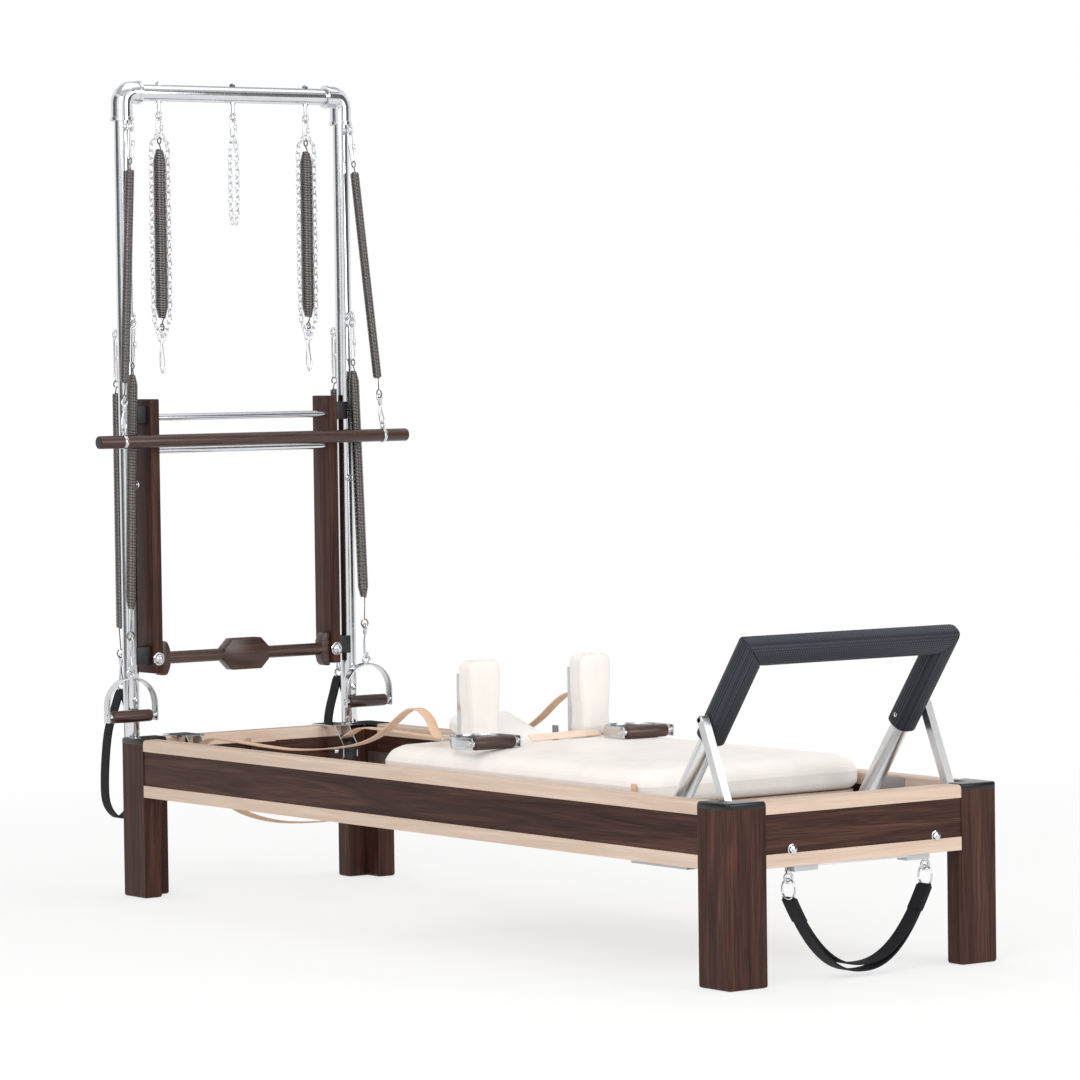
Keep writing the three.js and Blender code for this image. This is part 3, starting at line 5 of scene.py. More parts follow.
import bpy
from mathutils import Matrix, Vector
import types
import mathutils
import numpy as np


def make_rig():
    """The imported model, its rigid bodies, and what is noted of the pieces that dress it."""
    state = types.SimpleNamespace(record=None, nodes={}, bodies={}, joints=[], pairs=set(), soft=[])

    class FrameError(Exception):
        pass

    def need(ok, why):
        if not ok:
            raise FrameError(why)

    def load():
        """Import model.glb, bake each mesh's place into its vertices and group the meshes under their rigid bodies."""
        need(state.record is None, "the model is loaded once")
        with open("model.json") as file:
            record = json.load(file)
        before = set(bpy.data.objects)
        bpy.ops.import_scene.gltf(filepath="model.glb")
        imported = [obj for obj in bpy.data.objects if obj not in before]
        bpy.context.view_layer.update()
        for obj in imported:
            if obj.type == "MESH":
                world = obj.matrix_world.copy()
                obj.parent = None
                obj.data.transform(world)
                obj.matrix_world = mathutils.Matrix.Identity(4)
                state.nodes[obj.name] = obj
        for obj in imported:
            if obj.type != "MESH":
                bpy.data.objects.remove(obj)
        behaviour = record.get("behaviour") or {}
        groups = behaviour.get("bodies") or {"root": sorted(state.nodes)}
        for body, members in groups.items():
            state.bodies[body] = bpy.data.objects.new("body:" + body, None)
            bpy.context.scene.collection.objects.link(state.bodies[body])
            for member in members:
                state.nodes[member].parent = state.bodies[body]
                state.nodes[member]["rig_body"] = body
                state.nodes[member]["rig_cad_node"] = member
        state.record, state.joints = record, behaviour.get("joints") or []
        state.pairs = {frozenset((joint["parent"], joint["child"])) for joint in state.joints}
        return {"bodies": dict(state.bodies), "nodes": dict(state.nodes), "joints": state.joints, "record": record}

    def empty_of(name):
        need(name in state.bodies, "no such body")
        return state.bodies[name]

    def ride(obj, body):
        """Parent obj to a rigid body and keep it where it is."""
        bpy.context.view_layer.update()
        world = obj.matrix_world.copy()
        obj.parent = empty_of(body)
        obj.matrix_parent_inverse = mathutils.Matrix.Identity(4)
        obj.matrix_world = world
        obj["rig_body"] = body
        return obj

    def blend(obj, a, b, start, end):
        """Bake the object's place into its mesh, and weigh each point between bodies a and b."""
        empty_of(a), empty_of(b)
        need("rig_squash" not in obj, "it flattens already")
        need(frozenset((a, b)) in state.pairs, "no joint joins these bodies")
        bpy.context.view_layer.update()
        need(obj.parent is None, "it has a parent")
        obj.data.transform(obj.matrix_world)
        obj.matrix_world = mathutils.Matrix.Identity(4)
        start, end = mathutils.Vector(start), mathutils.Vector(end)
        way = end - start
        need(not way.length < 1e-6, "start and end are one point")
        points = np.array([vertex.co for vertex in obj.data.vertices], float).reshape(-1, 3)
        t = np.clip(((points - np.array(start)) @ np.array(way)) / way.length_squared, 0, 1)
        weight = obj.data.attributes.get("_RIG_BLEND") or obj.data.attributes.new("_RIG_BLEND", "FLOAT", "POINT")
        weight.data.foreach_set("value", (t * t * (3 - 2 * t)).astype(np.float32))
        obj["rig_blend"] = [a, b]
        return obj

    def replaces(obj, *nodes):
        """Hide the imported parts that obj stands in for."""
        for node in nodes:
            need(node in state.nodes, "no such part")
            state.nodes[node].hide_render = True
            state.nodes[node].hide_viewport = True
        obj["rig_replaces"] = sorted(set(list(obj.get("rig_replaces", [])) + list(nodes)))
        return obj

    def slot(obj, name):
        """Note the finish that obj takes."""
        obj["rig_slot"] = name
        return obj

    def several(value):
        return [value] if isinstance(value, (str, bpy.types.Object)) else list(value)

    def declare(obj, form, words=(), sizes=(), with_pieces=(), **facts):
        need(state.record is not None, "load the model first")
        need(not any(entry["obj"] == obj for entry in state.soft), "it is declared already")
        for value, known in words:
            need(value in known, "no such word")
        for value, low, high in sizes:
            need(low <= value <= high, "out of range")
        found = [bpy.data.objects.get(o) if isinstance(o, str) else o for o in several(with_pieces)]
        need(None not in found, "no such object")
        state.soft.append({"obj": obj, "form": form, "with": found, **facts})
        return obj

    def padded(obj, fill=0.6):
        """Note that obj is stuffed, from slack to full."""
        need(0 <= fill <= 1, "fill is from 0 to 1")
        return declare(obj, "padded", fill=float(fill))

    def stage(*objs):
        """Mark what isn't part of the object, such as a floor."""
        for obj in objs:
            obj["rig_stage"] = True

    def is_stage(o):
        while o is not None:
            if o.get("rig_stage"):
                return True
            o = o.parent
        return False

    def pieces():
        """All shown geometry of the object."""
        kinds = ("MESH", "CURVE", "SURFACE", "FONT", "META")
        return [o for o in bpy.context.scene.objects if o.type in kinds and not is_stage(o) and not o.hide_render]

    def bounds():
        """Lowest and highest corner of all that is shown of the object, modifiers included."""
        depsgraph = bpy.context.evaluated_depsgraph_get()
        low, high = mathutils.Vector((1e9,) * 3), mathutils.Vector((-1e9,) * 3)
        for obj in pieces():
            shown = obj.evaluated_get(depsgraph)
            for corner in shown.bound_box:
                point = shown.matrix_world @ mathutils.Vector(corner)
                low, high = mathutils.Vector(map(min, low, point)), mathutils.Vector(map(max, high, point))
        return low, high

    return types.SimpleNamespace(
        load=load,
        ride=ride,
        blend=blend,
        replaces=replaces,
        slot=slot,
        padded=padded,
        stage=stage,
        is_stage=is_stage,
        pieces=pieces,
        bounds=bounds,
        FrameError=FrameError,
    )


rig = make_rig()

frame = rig.load()
cad_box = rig.bounds()

# Lengths are in millimetres from the tower end of the bed, as the part's source has them
MM = 0.001
MIDDLE = 1080.5
GAP = 0.3
NEAR_FAR = (("near", -1), ("far", 1))
X, Y, Z = Vector((1, 0, 0)), Vector((0, 1, 0)), Vector((0, 0, 1))

# Distances in metres under which vertices are one, on wires and on lathe pieces
WIRE_MERGE, LATHE_MERGE = 1e-6, 1e-5


def at(x, y, z):
    """A place in the row's frame, from the part's own millimetres."""
    return Vector(((x - MIDDLE) * MM, y * MM, z * MM))


def beside(side, place):
    """A place on the near or the far side, from the one on the far side."""
    x, y, z = place
    return x, side * y, z


def within(place):
    """A function that gives places inside a piece that stands at the matrix place."""
    return lambda x, y, z: place @ (Vector((x, y, z)) * MM)


def standing(x_way, y_way, z_way, centre):
    """The matrix that turns a piece's own axes to three directions and moves it to centre."""
    matrix = Matrix((x_way, y_way, z_way)).transposed().to_4x4()
    matrix.translation = centre
    return matrix


# ---------------------------------------------------------------- modelling helpers
def pick(*objs):
    bpy.ops.object.select_all(action="DESELECT")
    for obj in objs:
        obj.select_set(True)
    bpy.context.view_layer.objects.active = objs[0]


def open_mesh(obj):
    """Edit mode, with all of the piece selected."""
    pick(obj)
    bpy.ops.object.mode_set(mode="EDIT")
    bpy.ops.mesh.select_all(action="SELECT")


def close_mesh(merge=0.0):
    """Merges doubles, turns every face outwards and leaves edit mode."""
    bpy.ops.mesh.select_all(action="SELECT")
    if merge:
        bpy.ops.mesh.remove_doubles(threshold=merge)
    bpy.ops.mesh.normals_make_consistent(inside=False)
    bpy.ops.object.mode_set(mode="OBJECT")


def mesh_object(name, verts, faces=(), edges=()):
    mesh = bpy.data.meshes.new(name)
    mesh.from_pydata([tuple(v) for v in verts], list(edges), [tuple(f) for f in faces])
    obj = bpy.data.objects.new(name, mesh)
    bpy.context.collection.objects.link(obj)
    return obj


def settle(obj):
    pick(obj)
    bpy.ops.object.transform_apply(location=True, rotation=True, scale=True)
    return obj


def applied(obj, kind, **settings):
    pick(obj)
    modifier = obj.modifiers.new(kind, kind)
    for key, value in settings.items():
        setattr(modifier, key, value)
    bpy.ops.object.modifier_apply(modifier=modifier.name)
    return obj


def smooth(obj, degrees=35):
    pick(obj)
    bpy.ops.object.shade_smooth_by_angle(angle=math.radians(degrees))
    return obj


def eased(obj, width, segments=3, degrees=30):
    applied(obj, "BEVEL", width=width * MM, segments=segments, limit_method="ANGLE",
            angle_limit=math.radians(degrees))
    return smooth(obj, 50)


def joined(name, parts):
    parts = list(parts)
    pick(*parts)
    if len(parts) > 1:
        bpy.ops.object.join()
    obj = bpy.context.view_layer.objects.active
    obj.name = name
    obj.data.name = name
    return obj


def block(name, low, high, ease=1.0, segments=3):
    """A box between two corners, with its edges eased."""
    a, b = at(*low), at(*high)
    bpy.ops.object.select_all(action="DESELECT")
    size = Vector((abs(b.x - a.x), abs(b.y - a.y), abs(b.z - a.z)))
    bpy.ops.mesh.primitive_cube_add(size=1, location=(a + b) / 2, scale=size)
    obj = bpy.context.active_object
    obj.name = name
    settle(obj)
    return eased(obj, ease, segments) if ease else obj


def prism(name, base, push, ease=0.0, segments=3):
    """A flat outline, pushed out along a direction, with its edges eased."""
    obj = mesh_object(name, base, [range(len(base))])
    open_mesh(obj)
    bpy.ops.mesh.extrude_region_move(TRANSFORM_OT_translate={"value": tuple(push)})
    close_mesh()
    return eased(obj, ease, segments) if ease else smooth(obj, 30)


def tube(name, points, radius, closed=False, corners=4, degrees=40):
    """A round bar or wire that follows points."""
    curve = bpy.data.curves.new(name, "CURVE")
    curve.dimensions = "3D"
    curve.bevel_depth = radius * MM
    curve.bevel_resolution = corners
    curve.use_fill_caps = not closed
    spline = curve.splines.new("POLY")
    spline.points.add(len(points) - 1)
    for place, point in zip(spline.points, points):
        place.co = (*point, 1)
    spline.use_cyclic_u = closed
    obj = bpy.data.objects.new(name, curve)
    bpy.context.collection.objects.link(obj)
    pick(obj)
    bpy.ops.object.convert(target="MESH")
    obj = bpy.context.active_object
    open_mesh(obj)
    close_mesh(WIRE_MERGE)
    return smooth(obj, degrees)


def bar(name, start, end, radius, corners=8):
    return tube(name, [start, end], radius, corners=corners)


def sliced(obj, place, away):
    """Cuts off what lies past a plane, on the side that away points to, and closes the cut."""
    open_mesh(obj)
    bpy.ops.mesh.bisect(plane_co=place, plane_no=away, use_fill=True, clear_outer=True)
    bpy.ops.object.mode_set(mode="OBJECT")
    return obj


def across(direction):
    """A direction at right angles to another."""
    start = Z if abs(direction.normalized().z) < 0.9 else X
    return direction.cross(start).normalized()


def turned(name, profile, centre, axis, steps=40, ease=0.0):
    """A lathe piece: profile holds (along, radius) pairs about an axis through centre."""
    axis = axis.normalized()
    out = across(axis)
    verts = [centre + axis * along * MM + out * radius * MM for along, radius in profile]
    obj = mesh_object(name, verts, edges=[(i, i + 1) for i in range(len(verts) - 1)])
    open_mesh(obj)
    bpy.ops.mesh.spin(steps=steps, angle=2 * math.pi, center=centre, axis=axis)
    close_mesh(LATHE_MERGE)
    return eased(obj, ease, 2) if ease else smooth(obj, 35)


def ring(name, centre, normal, radius, wire, steps=28, corners=3):
    """A round ring of wire, square to normal."""
    a = across(normal)
    b = normal.cross(a).normalized()
    turn = [2 * math.pi * i / steps for i in range(steps)]
    return tube(name, [centre + (a * math.cos(t) + b * math.sin(t)) * radius * MM for t in turn],
                wire, closed=True, corners=corners)


def flowing(points, steps=6, closed=False):
    """Points of one smooth curve through the given points."""
    count = len(points)
    spans = count if closed else count - 1
    out = []
    for i in range(spans):
        if closed:
            p = [points[(i + k - 1) % count] for k in range(4)]
        else:
            p = [points[min(max(i + k - 1, 0), count - 1)] for k in range(4)]
        for s in range(steps):
            t = s / steps
            out.append(0.5 * (2 * p[1] + (p[2] - p[0]) * t
                              + (2 * p[0] - 5 * p[1] + 4 * p[2] - p[3]) * t ** 2
                              + (3 * p[1] - p[0] - 3 * p[2] + p[3]) * t ** 3))
    if not closed:
        out.append(points[-1])
    return out


def ribbon(name, path, side, width, thick, columns=4, closed=False, ease=0.5):
    """A flat band: its middle follows path and its width lies along side. UV in metres."""
    count, row = len(path), columns + 1
    verts = [p + side * ((j / columns - 0.5) * width * MM) for p in path for j in range(row)]
    faces, uvs = [], []
    run = [0.0]
    for i in range(count):
        run.append(run[-1] + (path[(i + 1) % count] - path[i]).length)
    for i in range(count if closed else count - 1):
        k = (i + 1) % count
        for j in range(columns):
            faces.append((i * row + j, k * row + j, k * row + j + 1, i * row + j + 1))
            v0, v1 = j / columns * width * MM, (j + 1) / columns * width * MM
            uvs += [(run[i], v0), (run[i + 1], v0), (run[i + 1], v1), (run[i], v1)]
    obj = mesh_object(name, verts, faces)
    layer = obj.data.uv_layers.new(name="UVMap")
    for loop, uv in zip(layer.data, uvs):
        loop.uv = uv
    applied(obj, "SOLIDIFY", thickness=thick * MM, offset=0, use_even_offset=True)
    if ease:
        applied(obj, "BEVEL", width=ease * MM, segments=2, limit_method="ANGLE",
                angle_limit=math.radians(50))
    return smooth(obj, 45)


def rounded(half_a, half_b, corner, steps=8):
    """Outline of a rounded rectangle in millimetres."""
    points = []
    for quarter, (sa, sb) in enumerate(((1, 1), (-1, 1), (-1, -1), (1, -1))):
        for i in range(steps + 1):
            angle = (quarter + i / steps) * math.pi / 2
            points.append((sa * (half_a - corner) + corner * math.cos(angle),
                           sb * (half_b - corner) + corner * math.sin(angle)))
    return points


def inset_from(outline, x, y):
    """Distance of a point from the nearest side of an outline."""
    best = math.inf
    for i, (ax, ay) in enumerate(outline):
        bx, by = outline[(i + 1) % len(outline)]
        dx, dy = bx - ax, by - ay
        length = dx * dx + dy * dy
        t = max(0.0, min(1.0, ((x - ax) * dx + (y - ay) * dy) / length)) if length else 0.0
        best = min(best, (x - ax - t * dx) ** 2 + (y - ay - t * dy) ** 2)
    return math.sqrt(best)


def eased_drop(table, inset, roundness=0.4):
    """How far a pad falls away at an inset, between the table's rows."""
    for (i0, d0), (i1, d1) in zip(table, table[1:]):
        if inset <= i1:
            share = (inset - i0) / (i1 - i0)
            share = share * share * (3 - 2 * share) * roundness + share * (1 - roundness)
            return d0 + (d1 - d0) * share
    return table[-1][1]


def pad(name, outline, low, high, crown, voxel, place, under=(), rounds=6):
    """An upholstered pad: its outline is raised from low to high, remeshed, and its top and
    bottom fall away towards the outline by the drops that the tables give at each inset."""
    base = [Vector((a, b, low)) * MM for a, b in outline]
    obj = prism(name, base, Z * (high - low) * MM)
    obj.data.remesh_voxel_size = voxel * MM
    pick(obj)
    bpy.ops.object.voxel_remesh()
    middle = (low + high) / 2
    for vertex in obj.data.vertices:
        x, y, z = (c / MM for c in vertex.co)
        inset = inset_from(outline, x, y)
        if z > middle:
            z = middle + (z - middle) * (high - eased_drop(crown, inset) - middle) / (high - middle)
        elif under:
            z = middle - (middle - z) * (middle - low - eased_drop(under, inset)) / (middle - low)
        vertex.co.z = z * MM
    applied(obj, "SMOOTH", factor=0.5, iterations=rounds)
    obj.data.transform(place)
    return smooth(obj, 80)


def finished(obj, material, slot, nodes):
    """Gives a piece its material, its slot and the CAD nodes that it stands for."""
    obj.data.materials.clear()
    obj.data.materials.append(material)
    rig.slot(obj, slot)
    if nodes:
        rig.replaces(obj, *nodes)
    return obj


def piece(obj, body, material, slot, *nodes):
    """A finished piece that moves with one body."""
    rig.ride(obj, body)
    return finished(obj, material, slot, nodes)


def stretched(obj, material, slot, bodies, start, end, *nodes):
    """A finished piece that draws out between two bodies, from start to end."""
    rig.blend(obj, *bodies, start, end)
    return finished(obj, material, slot, nodes)


def dress(material, *nodes):
    """Gives CAD nodes that show as they are their material."""
    for node in nodes:
        for slot in frame["nodes"][node].material_slots:
            slot.material = material


# ---------------------------------------------------------------- material helpers
class Shader:
    """A material with its principled shader, and short ways to its common nodes."""

    def __init__(self, name, color, roughness, metallic=0.0, **sockets):
        self.material = bpy.data.materials.new(name)
        self.material.use_nodes = True
        self.tree = self.material.node_tree
        self.shader = self.tree.nodes["Principled BSDF"]
        self.shader.inputs["Base Color"].default_value = (*color, 1)
        self.shader.inputs["Roughness"].default_value = roughness
        self.shader.inputs["Metallic"].default_value = metallic
        for key, value in sockets.items():
            self.shader.inputs[key.replace("_", " ")].default_value = value
        self.coordinates = self.tree.nodes.new("ShaderNodeTexCoord")

    def node(self, kind, **settings):
        made = self.tree.nodes.new(kind)
        for key, value in settings.items():
            setattr(made, key, value)
        return made

    def link(self, source, target):
        self.tree.links.new(source, target)

    def placed(self, scale=(1, 1, 1), turn=(0, 0, 0), uv=False):
        mapping = self.node("ShaderNodeMapping")
        mapping.inputs["Scale"].default_value = scale
        mapping.inputs["Rotation"].default_value = turn
        self.link(self.coordinates.outputs["UV" if uv else "Object"], mapping.inputs["Vector"])
        return mapping.outputs["Vector"]

    def noise(self, vector, scale, detail=4.0, roughness=0.5, distortion=0.0):
        made = self.node("ShaderNodeTexNoise")
        made.inputs["Scale"].default_value = scale
        made.inputs["Detail"].default_value = detail
        made.inputs["Roughness"].default_value = roughness
        made.inputs["Distortion"].default_value = distortion
        self.link(vector, made.inputs["Vector"])
        return made.outputs["Fac"]

    def ramp(self, value, *stops):
        made = self.node("ShaderNodeValToRGB")
        elements = made.color_ramp.elements
        while len(elements) < len(stops):
            elements.new(0.5)
        for element, (place, color) in zip(elements, stops):
            element.position = place
            element.color = (*color, 1) if isinstance(color, tuple) else (color, color, color, 1)
        self.link(value, made.inputs["Fac"])
        return made.outputs["Color"]

    def feed(self, source, target):
        """Links a socket, or sets a colour or a number."""
        if hasattr(source, "links"):
            self.link(source, target)
        else:
            target.default_value = (*source, 1) if isinstance(source, tuple) else source

    def mixed(self, share, first, second, mode="MIX"):
        """Two colours mixed by a share. The node's sockets 6 and 7 are its colour inputs."""
        made = self.node("ShaderNodeMix", data_type="RGBA", blend_type=mode)
        for source, socket in ((share, 0), (first, 6), (second, 7)):
            self.feed(source, made.inputs[socket])
        return made.outputs[2]

    def maths(self, operation, first, second=0.0):
        made = self.node("ShaderNodeMath", operation=operation)
        self.feed(first, made.inputs[0])
        self.feed(second, made.inputs[1])
        return made.outputs[0]

    def cells(self, vector, scale, randomness=1.0):
        """Distance from the middle of the nearest Voronoi cell."""
        made = self.node("ShaderNodeTexVoronoi")
        made.inputs["Scale"].default_value = scale
        made.inputs["Randomness"].default_value = randomness
        self.link(vector, made.inputs["Vector"])
        return made.outputs["Distance"]

    def place_parts(self):
        """X, Y and Z of the surface, in metres."""
        made = self.node("ShaderNodeSeparateXYZ")
        self.link(self.coordinates.outputs["Object"], made.inputs[0])
        return tuple(made.outputs)

    def color(self, value):
        self.link(value, self.shader.inputs["Base Color"])

    def rough(self, value, low, high):
        made = self.node("ShaderNodeMapRange")
        made.inputs["To Min"].default_value = low
        made.inputs["To Max"].default_value = high
        self.link(value, made.inputs["Value"])
        self.link(made.outputs["Result"], self.shader.inputs["Roughness"])

    def bump(self, height, strength, distance):
        """A fine relief: distance is its depth in millimetres."""
        made = self.node("ShaderNodeBump")
        made.inputs["Strength"].default_value = strength
        made.inputs["Distance"].default_value = distance * MM
        self.link(height, made.inputs["Height"])
        self.link(made.outputs["Normal"], self.shader.inputs["Normal"])


# Stops of place and colour, from the darkest streaks to the lightest
WALNUT_TONES = ((0.3, (0.026, 0.0088, 0.0062)), (0.5, (0.060, 0.0222, 0.0152)),
                (0.72, (0.116, 0.050, 0.034)))
MAPLE_TONES = ((0.3, (0.585, 0.44, 0.345)), (0.55, (0.66, 0.51, 0.41)),
               (0.75, (0.735, 0.59, 0.49)))
PLATE_GREY, UNDERSIDE_GREY = (0.55, 0.56, 0.575), (0.3, 0.3, 0.31)

# Scales of figure and pores: along the grain and across it
FIGURE_SCALES, PORE_SCALES = (0.7, 14), (9, 420)

# Heights and half widths in metres where one finish of a CAD node ends and the next begins
RAIL_CAP_LOW, RAIL_LIP_TOP, RAIL_WOOD_LOW, RAIL_INSIDE = 0.3399, 0.2611, 0.23385, 0.30485
BOARD_LOW, BOARD_TOP, EARS_INSIDE = 0.3135, 0.3335, 0.06


def tinted(color, factor):
    return tuple(c * factor for c in color)


def grain_scale(grain, scales):
    along, over = scales
    return tuple(along if axis == grain else over for axis in "XYZ")


def wood_color(made, grain, tones, pore_share=0.45):
    """Broad figure stretched along the grain, with fine dark pores over it."""
    figure = made.noise(made.placed(grain_scale(grain, FIGURE_SCALES)), scale=3.2, detail=6,
                        roughness=0.62, distortion=0.9)
    pores = made.noise(made.placed(grain_scale(grain, PORE_SCALES)), scale=1.0, detail=3,
                       roughness=0.6)
    base = made.ramp(figure, *tones)
    dark = made.ramp(pores, (0.4, 1 - pore_share), (0.56, 1.0))
    return made.mixed(1.0, base, dark, "MULTIPLY"), pores


def wood(name, grain, roughness=0.42, gloss=0.18):
    """Dark walnut with its grain along one axis."""
    made = Shader(name, WALNUT_TONES[1][1], roughness, Specular_IOR_Level=gloss)
    color, pores = wood_color(made, grain, WALNUT_TONES)
    made.color(color)
    made.rough(pores, roughness - 0.06, roughness + 0.1)
    made.bump(pores, strength=0.12, distance=0.2)
    return made.material


def steel_like(name, color, roughness, spread, streak=None):
    """Bare or plated metal, with brush marks where a streak gives their scale."""
    made = Shader(name, color, roughness, metallic=1.0)
    marks = made.noise(made.placed(streak or (1, 1, 1)), scale=1.0 if streak else 30, detail=4,
                       roughness=0.55)
    made.rough(marks, roughness - spread, roughness + spread)
    if streak:
        made.bump(marks, strength=0.06, distance=0.1)
    made.color(made.ramp(marks, (0.3, tinted(color, 0.92)), (0.6, color)))
    return made.material


def rail_wood(name, grain):
    """Light cap and lip on a dark board, and the metal plates fixed inside and under it."""
    made = Shader(name, WALNUT_TONES[1][1], 0.4, Specular_IOR_Level=0.18)
    dark, pores = wood_color(made, grain, WALNUT_TONES)
    light, _ = wood_color(made, grain, MAPLE_TONES, pore_share=0.07)
    _, y, z = made.place_parts()
    cap = made.maths("GREATER_THAN", z, RAIL_CAP_LOW)
    lip = made.maths("LESS_THAN", z, RAIL_LIP_TOP)
    timber = made.mixed(made.maths("MAXIMUM", cap, lip), dark, light)
    metal = made.maths("LESS_THAN", z, RAIL_WOOD_LOW)
    if grain == "X":
        inside = made.maths("LESS_THAN", made.maths("ABSOLUTE", y), RAIL_INSIDE)
        metal = made.maths("MAXIMUM", inside, metal)
    made.color(made.mixed(metal, timber, PLATE_GREY))
    made.link(metal, made.shader.inputs["Metallic"])
    made.rough(pores, 0.34, 0.5)
    made.bump(pores, strength=0.12, distance=0.3)
    return made.material


def upholstery(name, color):
    """Smooth vinyl with a fine pebble."""
    made = Shader(name, color, 0.52, Specular_IOR_Level=0.32)
    pebble = made.cells(made.placed(), scale=620)
    soft = made.noise(made.placed(), scale=14, detail=3, roughness=0.5)
    made.color(made.ramp(soft, (0.35, tinted(color, 0.955)), (0.62, color)))
    made.rough(soft, 0.46, 0.58)
    made.bump(pebble, strength=0.09, distance=0.35)
    return made.material


def dotted_rubber(name, lean, dot=(0.052, 0.062, 0.086), shaded_ground=(0.008, 0.010, 0.0155)):
    """Slate black cover with rows of small raised dots, in line with the leaning bar. The dots are painted lighter as
    a painted highlight on their tops, and the ground between them darker as painted shade.
    """
    made = Shader(name, (0.018, 0.022, 0.03), 0.55, Specular_IOR_Level=0.4)
    vector = made.placed(turn=(0, lean, math.radians(45)))
    dots = made.cells(vector, scale=225, randomness=0.0)
    # painted highlight on the raised dots and painted shade on the ground between them, from the same mask as the bump
    made.color(made.ramp(dots, (0.12, dot), (0.55, shaded_ground)))
    made.rough(dots, 0.42, 0.7)
    made.bump(made.ramp(dots, (0.1, 1.0), (0.65, 0.0)), strength=0.55, distance=0.7)
    return made.material


def woven(name, color, ribs_along, ribs_across):
    """Tape: fine ribs along its length crossed by the weft, its raised threads painted lighter as a painted sheen on
    their crests. It follows the piece's own UV.
    """
    made = Shader(name, color, 0.78, Specular_IOR_Level=0.25)
    heights = []
    for direction, scale in (("Y", ribs_along), ("X", ribs_across)):
        wave = made.node("ShaderNodeTexWave", bands_direction=direction)
        wave.inputs["Scale"].default_value = scale
        wave.inputs["Distortion"].default_value = 0.25
        wave.inputs["Detail"].default_value = 1.0
        made.link(made.placed(uv=True), wave.inputs["Vector"])
        heights.append(wave.outputs["Fac"])
    weave = made.maths("MULTIPLY", *heights)
    # painted sheen: the crests of the weave are painted about twice as light as the tape, and the hollows keep its
    # dark colour
    bright = tuple(c * 2.1 + 0.004 for c in color)
    made.color(made.ramp(weave, (0.1, color), (0.9, bright)))
    made.rough(weave, 0.7, 0.86)
    made.bump(weave, strength=0.5, distance=0.4)
    return made.material


def hide(name, color, edge):
    """Leather: a cloudy tone over a fine grain."""
    made = Shader(name, color, 0.55, Specular_IOR_Level=0.35)
    cloud = made.noise(made.placed(), scale=26, detail=5, roughness=0.6, distortion=0.4)
    grain = made.noise(made.placed(), scale=900, detail=2, roughness=0.5)
    made.color(made.ramp(cloud, (0.3, edge), (0.66, color)))
    made.rough(cloud, 0.48, 0.62)
    made.bump(grain, strength=0.12, distance=0.25)
    return made.material


def moulded(name, color, roughness):
    """Black plastic with a faint moulded grain."""
    made = Shader(name, color, roughness, Specular_IOR_Level=0.45)
    fine = made.noise(made.placed(), scale=700, detail=2, roughness=0.5)
    broad = made.noise(made.placed(), scale=22, detail=3, roughness=0.5)
    made.color(made.ramp(broad, (0.35, color), (0.7, tinted(color, 1.5))))
    made.rough(broad, roughness - 0.06, roughness + 0.08)
    made.bump(fine, strength=0.05, distance=0.2)
    return made.material


def platform_finish():
    """Birch plywood board with dark steel under it and bright ears for the headrest."""
    made = Shader("platform_plywood", (0.5, 0.36, 0.22), 0.5)
    color, pores = wood_color(made, "X", MAPLE_TONES, pore_share=0.15)
    _, y, z = made.place_parts()
    under = made.maths("LESS_THAN", z, BOARD_LOW)
    outside = made.maths("GREATER_THAN", made.maths("ABSOLUTE", y), EARS_INSIDE)
    ears = made.maths("MULTIPLY", made.maths("GREATER_THAN", z, BOARD_TOP), outside)
    metal = made.maths("MAXIMUM", under, ears)
    made.color(made.mixed(metal, color, UNDERSIDE_GREY))
    made.link(metal, made.shader.inputs["Metallic"])
    made.rough(pores, 0.4, 0.55)
    made.bump(pores, strength=0.1, distance=0.25)
    return made.material


walnut_z = wood("walnut_upright", "Z")
walnut_turned = wood("walnut_turned", "Y", roughness=0.27, gloss=0.6)
rail_side = rail_wood("rail_side_timber", "X")
rail_end = rail_wood("rail_end_timber", "Y")
chrome = steel_like("chrome_plate", (0.72, 0.74, 0.77), 0.09, 0.02)
satin = steel_like("satin_steel", (0.66, 0.67, 0.685), 0.22, 0.04)
brushed = steel_like("brushed_aluminium", (0.80, 0.805, 0.815), 0.3, 0.06, (40, 900, 40))
bronze_grey = steel_like("spring_wire", (0.225, 0.205, 0.2), 0.18, 0.03)
cream = upholstery("cream_vinyl", (0.895, 0.853, 0.812))
white_vinyl = upholstery("white_vinyl", (0.9, 0.87, 0.84))
slate_pad = dotted_rubber("dotted_pad_cover", math.radians(-35.9))
tape = woven("black_webbing", (0.0065, 0.007, 0.0095), 620, 260)
tan_leather = hide("tan_leather", (0.77, 0.55, 0.395), (0.66, 0.43, 0.29))
pale_leather = hide("pale_leather", (0.86, 0.70, 0.58), (0.78, 0.60, 0.47))
black_plastic = moulded("black_plastic", (0.011, 0.0115, 0.0135), 0.38)
cap_plastic = moulded("corner_cap_plastic", (0.004, 0.004, 0.0048), 0.24)
plywood = platform_finish()

# ---------------------------------------------------------------- shared hardware
EYE_RING, EYE_WIRE, SHANK = 9.5, 2.8, 4.0
EYE_HOLE = EYE_RING - EYE_WIRE
HARDWARE_WIRE, HARDWARE_WIDTH = 2.2, 17.0
HOOK_EYE = 7.0
# How far from an eye's middle the wire of what hangs in it lies
SEAT_DROP = EYE_HOLE - HARDWARE_WIRE - GAP


def half_turn(steps):
    """Cosine and sine at even steps over half a turn."""
    angles = [math.pi * i / steps for i in range(steps + 1)]
    return [(math.cos(angle), math.sin(angle)) for angle in angles]


def stadium(top, away, side, length, width, wire, steps):
    """Points of a stretched loop whose end wire's middle passes through top."""
    away, side = away.normalized(), side.normalized()
    half = (width / 2 - wire) * MM
    straight = max(length * MM - 2 * wire * MM - 2 * half, 0.0)
    turn = half_turn(steps)
    first = [top + away * (half - half * down) + side * (half * out) for out, down in turn]
    return first + [top + away * (half + straight + half * down) - side * (half * out)
                    for out, down in turn]


